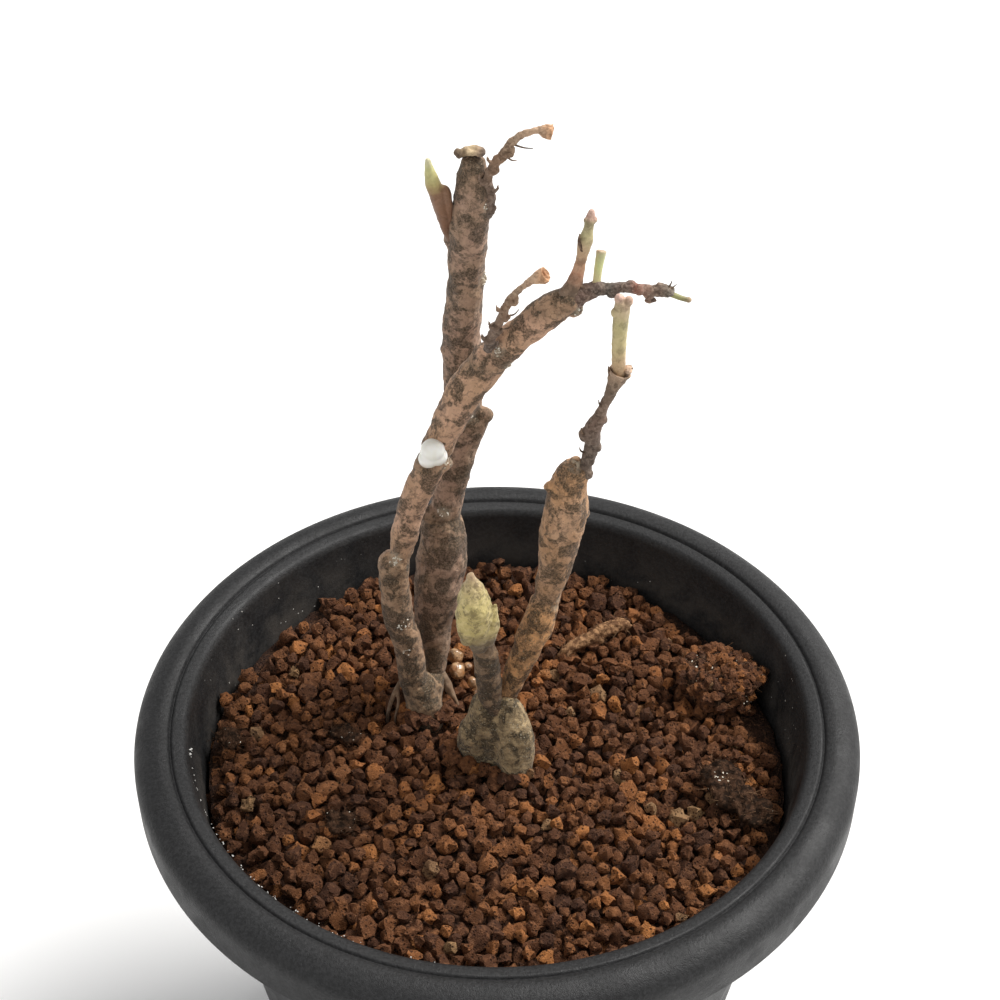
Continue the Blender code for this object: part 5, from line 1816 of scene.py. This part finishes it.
def near_tip(spot):
    """A mask that is 1 at the clod's tip and nearly 0 elsewhere."""
    return 1.0 if (spot - tip_spot).length < 1.4 * MM else 0.01


scatter("fibrous_clod_glints", clod, CRUMBS, "root_fibre", cream_crystal, near_tip, Seed=7, **glints)

# %% The bark mound with its clay crumbs
low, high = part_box("bark_mound")
middle, half = (low + high) / 2, (high - low) / 2
shape = bmesh.new()
for part in range(11):
    shift = Vector(
        (math.sin(part * 2.4) * 0.5, math.cos(part * 2.4) * 0.5, math.sin(part * 1.3) * 0.25 - 0.1)
    )
    spot = middle + Vector([a * b for a, b in zip(shift, half)])
    size = Matrix.Diagonal((half.x * 0.5, half.y * 0.5, half.z * 0.65, 1.0))
    bmesh.ops.create_icosphere(shape, subdivisions=3, radius=1.0, matrix=Matrix.Translation(spot) @ size)
mound = fuse(shape, "bark_mound_body", 0.22 * MM, 1)
lump_skin(mound.data, [(2.4, 0.9), (0.9, 0.4), (0.45, 0.15)], 160.0)
keep_piece(mound, "bark_mound", "bound_peat", peat)
rng = np.random.default_rng(17)
spots = [mound.data.vertices[i].co for i in rng.choice(len(mound.data.vertices), 420, replace=False)]
rows = [(*spot, size) for spot, size in zip(spots, rng.uniform(0.32, 0.95, len(spots)) * MM)]
crumbs = make_grains("bark_mound_granules", rows, 9, clay)
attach(crumbs, "root")
values = {"Density": 0.7e6, "Shortest": 0.6 * MM, "Longest": 1.5 * MM, "Width": 0.03, "Curl": 0.8}
scatter("bark_mound_fibres", mound, FIBRES, "bound_peat", tan_fibre, Seed=8, **values)
glints = {"Density": 0.45e6, "Smallest": 0.07 * MM, "Largest": 0.16 * MM}
scatter("bark_mound_glints", mound, CRUMBS, "bound_peat", cream_crystal, everywhere, Seed=9, **glints)
print("mound granules:", len(rows))

# %% [markdown]
# ## The last small things
# Dried bracts end in dark hairs, scars have pale crystals of old sap on them, hard water has left
# specks on the pot's inner ledge, and a strand of joined fibres lies behind the leaning stem. Under the
# loose grains, a packed core fills the pot, so nothing shows through the gaps or the drain slots. Its
# clay is painted darker than any grain, as painted shade deep in the gaps.

# %% Dried hairs
HAIRS = [
    [(10.0, 1.7, 49.0, 0.20), (9.4, 1.5, 49.7, 0.14), (9.3, 1.4, 50.4, 0.05)],
    [(9.9, 1.8, 46.6, 0.16), (9.4, 1.6, 47.0, 0.11), (9.2, 1.6, 47.5, 0.05)],
    [(11.5, 1.7, 53.0, 0.14), (11.2, 1.5, 53.6, 0.10), (11.1, 1.4, 54.2, 0.05)],
    [(12.4, 1.7, 57.0, 0.22), (12.1, 1.6, 57.8, 0.16), (12.0, 1.5, 58.6, 0.05)],
    [(13.9, 1.9, 57.6, 0.22), (14.4, 1.8, 57.9, 0.16), (14.7, 1.8, 58.2, 0.06)],
    [(1.5, 12.2, 79.5, 0.14), (2.8, 11.9, 79.2, 0.09), (3.8, 11.9, 79.1, 0.05)],
    [(0.8, 12.3, 78.1, 0.14), (1.6, 12.1, 77.6, 0.09), (2.1, 12.1, 77.6, 0.05)],
    [(1.1, 5.3, 62.5, 0.14), (1.9, 5.1, 62.9, 0.09), (2.4, 5.0, 63.6, 0.05)],
    [(0.6, 5.5, 60.7, 0.14), (1.3, 5.3, 61.0, 0.08), (1.6, 5.2, 61.5, 0.04)],
    [(9.1, 7.3, 69.5, 0.22), (8.7, 7.2, 70.6, 0.18), (8.75, 7.2, 71.6, 0.06)],
    [(8.6, 6.7, 65.6, 0.16), (9.3, 6.5, 65.4, 0.10), (9.8, 6.5, 64.8, 0.05)],
    [(18.3, 6.8, 64.9, 0.14), (18.9, 6.8, 65.2, 0.09), (19.3, 6.8, 65.6, 0.04)],
    [(18.4, 6.8, 65.0, 0.14), (18.7, 6.8, 65.7, 0.08), (18.8, 6.8, 66.1, 0.04)],
]
shape = bmesh.new()
for rows in HAIRS:
    add_tube(shape, smooth_path(rows, 0.15 * MM), sides=7)
hairs = new_object("dried_hairs", finished(shape, "dried_hairs"))
keep_piece(hairs, None, "dried_stalk", fibre_material("dried_hair", (0.10, 0.065, 0.045), (0.28, 0.19, 0.13)))

# %% Crystals on the scars


def near_any(marks, reach):
    """A mask that is 1 within a reach of any mark, in millimetres, and 0 elsewhere."""
    spots = [at(*mark) for mark in marks]

    def mask(spot):
        return 1.0 if min((spot - mark).length for mark in spots) < reach * MM else 0.0

    return mask


crystals = {"Density": 7e6, "Smallest": 0.05 * MM, "Largest": 0.12 * MM}
arch_marks = near_any(arch_scars + [(-11.6, 6.0, 16.4), (-11.3, 6.0, 12.0)], 0.8)
scatter("arching_stem_crystals", arch, CRUMBS, "mottled_bark", cream_crystal, arch_marks, Seed=21, **crystals)
tall_marks = near_any(tall_scars, 0.8)
scatter("upright_stem_crystals", tall, CRUMBS, "mottled_bark", cream_crystal, tall_marks, Seed=22, **crystals)

# %% Hard-water specks on the inner ledge
shape = bmesh.new()
LEDGE_TURNS = np.radians(np.arange(188.0, 262.0, 3.0))
rims = []
for drop in (1.2 * MM, 2.4 * MM):
    reach = inner_radius(POT_HEIGHT - drop) - 0.01 * MM
    spots = [(reach * math.cos(turn), reach * math.sin(turn), POT_HEIGHT - drop) for turn in LEDGE_TURNS]
    rims.append([shape.verts.new(spot) for spot in spots])
for first, second, third, fourth in zip(rims[0], rims[0][1:], rims[1][1:], rims[1]):
    shape.faces.new((first, second, third, fourth))
band = new_object("ledge_band", finished(shape, "ledge_band"))
for index, density in enumerate((0.9e6, 0.4e6)):
    sizes = {"Density": density, "Smallest": 0.03 * MM, "Largest": (0.08 + 0.04 * index) * MM}
    name = f"ledge_specks_{index + 1}"
    scatter(name, band, CRUMBS, "pot_plastic", mineral, everywhere, Seed=31 + index, **sizes)
bpy.data.objects.remove(band)

# %% A strand of joined fibres
STRAND_ROWS = [
    (8.6, 17.2, -0.2, 0.7), (10.2, 18.0, 0.9, 0.95), (12.2, 19.0, 1.3, 0.8), (14.4, 20.4, 1.6, 1.0),
    (16.4, 21.6, 1.6, 0.9), (18.4, 22.6, 0.4, 0.5),
]
strand = grow_shoot(
    "fibre_strand", [(STRAND_ROWS,)], [((13.4, 19.4, 1.0), (1.2, 0.9, 0.7))], voxel=0.14,
    layers=((1.6, 0.35), (0.7, 0.2), (0.4, 0.1)), seed=170.0,
)
keep_piece(
    strand, None, "root_fibre", fibre_material("strand_fibre", (0.15, 0.075, 0.038), (0.36, 0.20, 0.10)),
)
values = {"Density": 1.2e6, "Shortest": 0.5 * MM, "Longest": 1.4 * MM, "Width": 0.03, "Curl": 0.8}
scatter("fibre_strand_hairs", strand, FIBRES, "root_fibre", tan_fibre, Seed=33, **values)

# %% The packed core under the loose grains
CORE_DEPTH = 2.2 * MM  # below the soil's surface
CORE_SLICES = 120
shape = bmesh.new()
rings = []
for share in (0.0, 0.12, 0.25, 0.37, 0.5, 0.62, 0.74, 0.85, 0.94, 1.0):
    reach = (inner_radius(SOIL_LEVEL - CORE_DEPTH) - 0.25 * MM) * share
    turns = [math.tau * index / CORE_SLICES for index in range(CORE_SLICES)] if share else [0.0]
    spots = [(reach * math.cos(turn), reach * math.sin(turn)) for turn in turns]
    rings.append([shape.verts.new((x, y, soil_top(x, y) - CORE_DEPTH)) for x, y in spots])
for share in (0.75, 0.5, 0.25, 0.0):
    height = FLOOR_TOP + (SOIL_LEVEL - CORE_DEPTH - FLOOR_TOP) * share + 0.05 * MM
    reach = inner_radius(height) - 0.25 * MM
    turns = [math.tau * index / CORE_SLICES for index in range(CORE_SLICES)]
    rings.append([shape.verts.new((reach * math.cos(t), reach * math.sin(t), height)) for t in turns])
rings.append([shape.verts.new((0.0, 0.0, FLOOR_TOP + 0.05 * MM))])
for inner, outer in zip(rings, rings[1:]):
    for index in range(CORE_SLICES):
        after = (index + 1) % CORE_SLICES
        if len(inner) == 1:
            shape.faces.new((inner[0], outer[index], outer[after]))
        elif len(outer) == 1:
            shape.faces.new((inner[index], inner[after], outer[0]))
        else:
            shape.faces.new((inner[index], outer[index], outer[after], inner[after]))
core = new_object("packed_clay_core", finished(shape, "packed_clay_core"))
lump_skin(core.data, [(2.4, 0.5), (1.2, 0.3)], 180.0)
# The core's clay is darker than any loose grain. Part of this is the packed clay's own colour, and part is
# painted shade deep in the gaps.
core_clay_in_shade = clay_material("packed_clay", [(0.0, (0.050, 0.024, 0.015)), (1.0, (0.080, 0.040, 0.024))], 0.6)
keep_piece(core, None, "clay_granules", core_clay_in_shade)
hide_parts("soil_bed")

# %% Done
print("pieces placed")
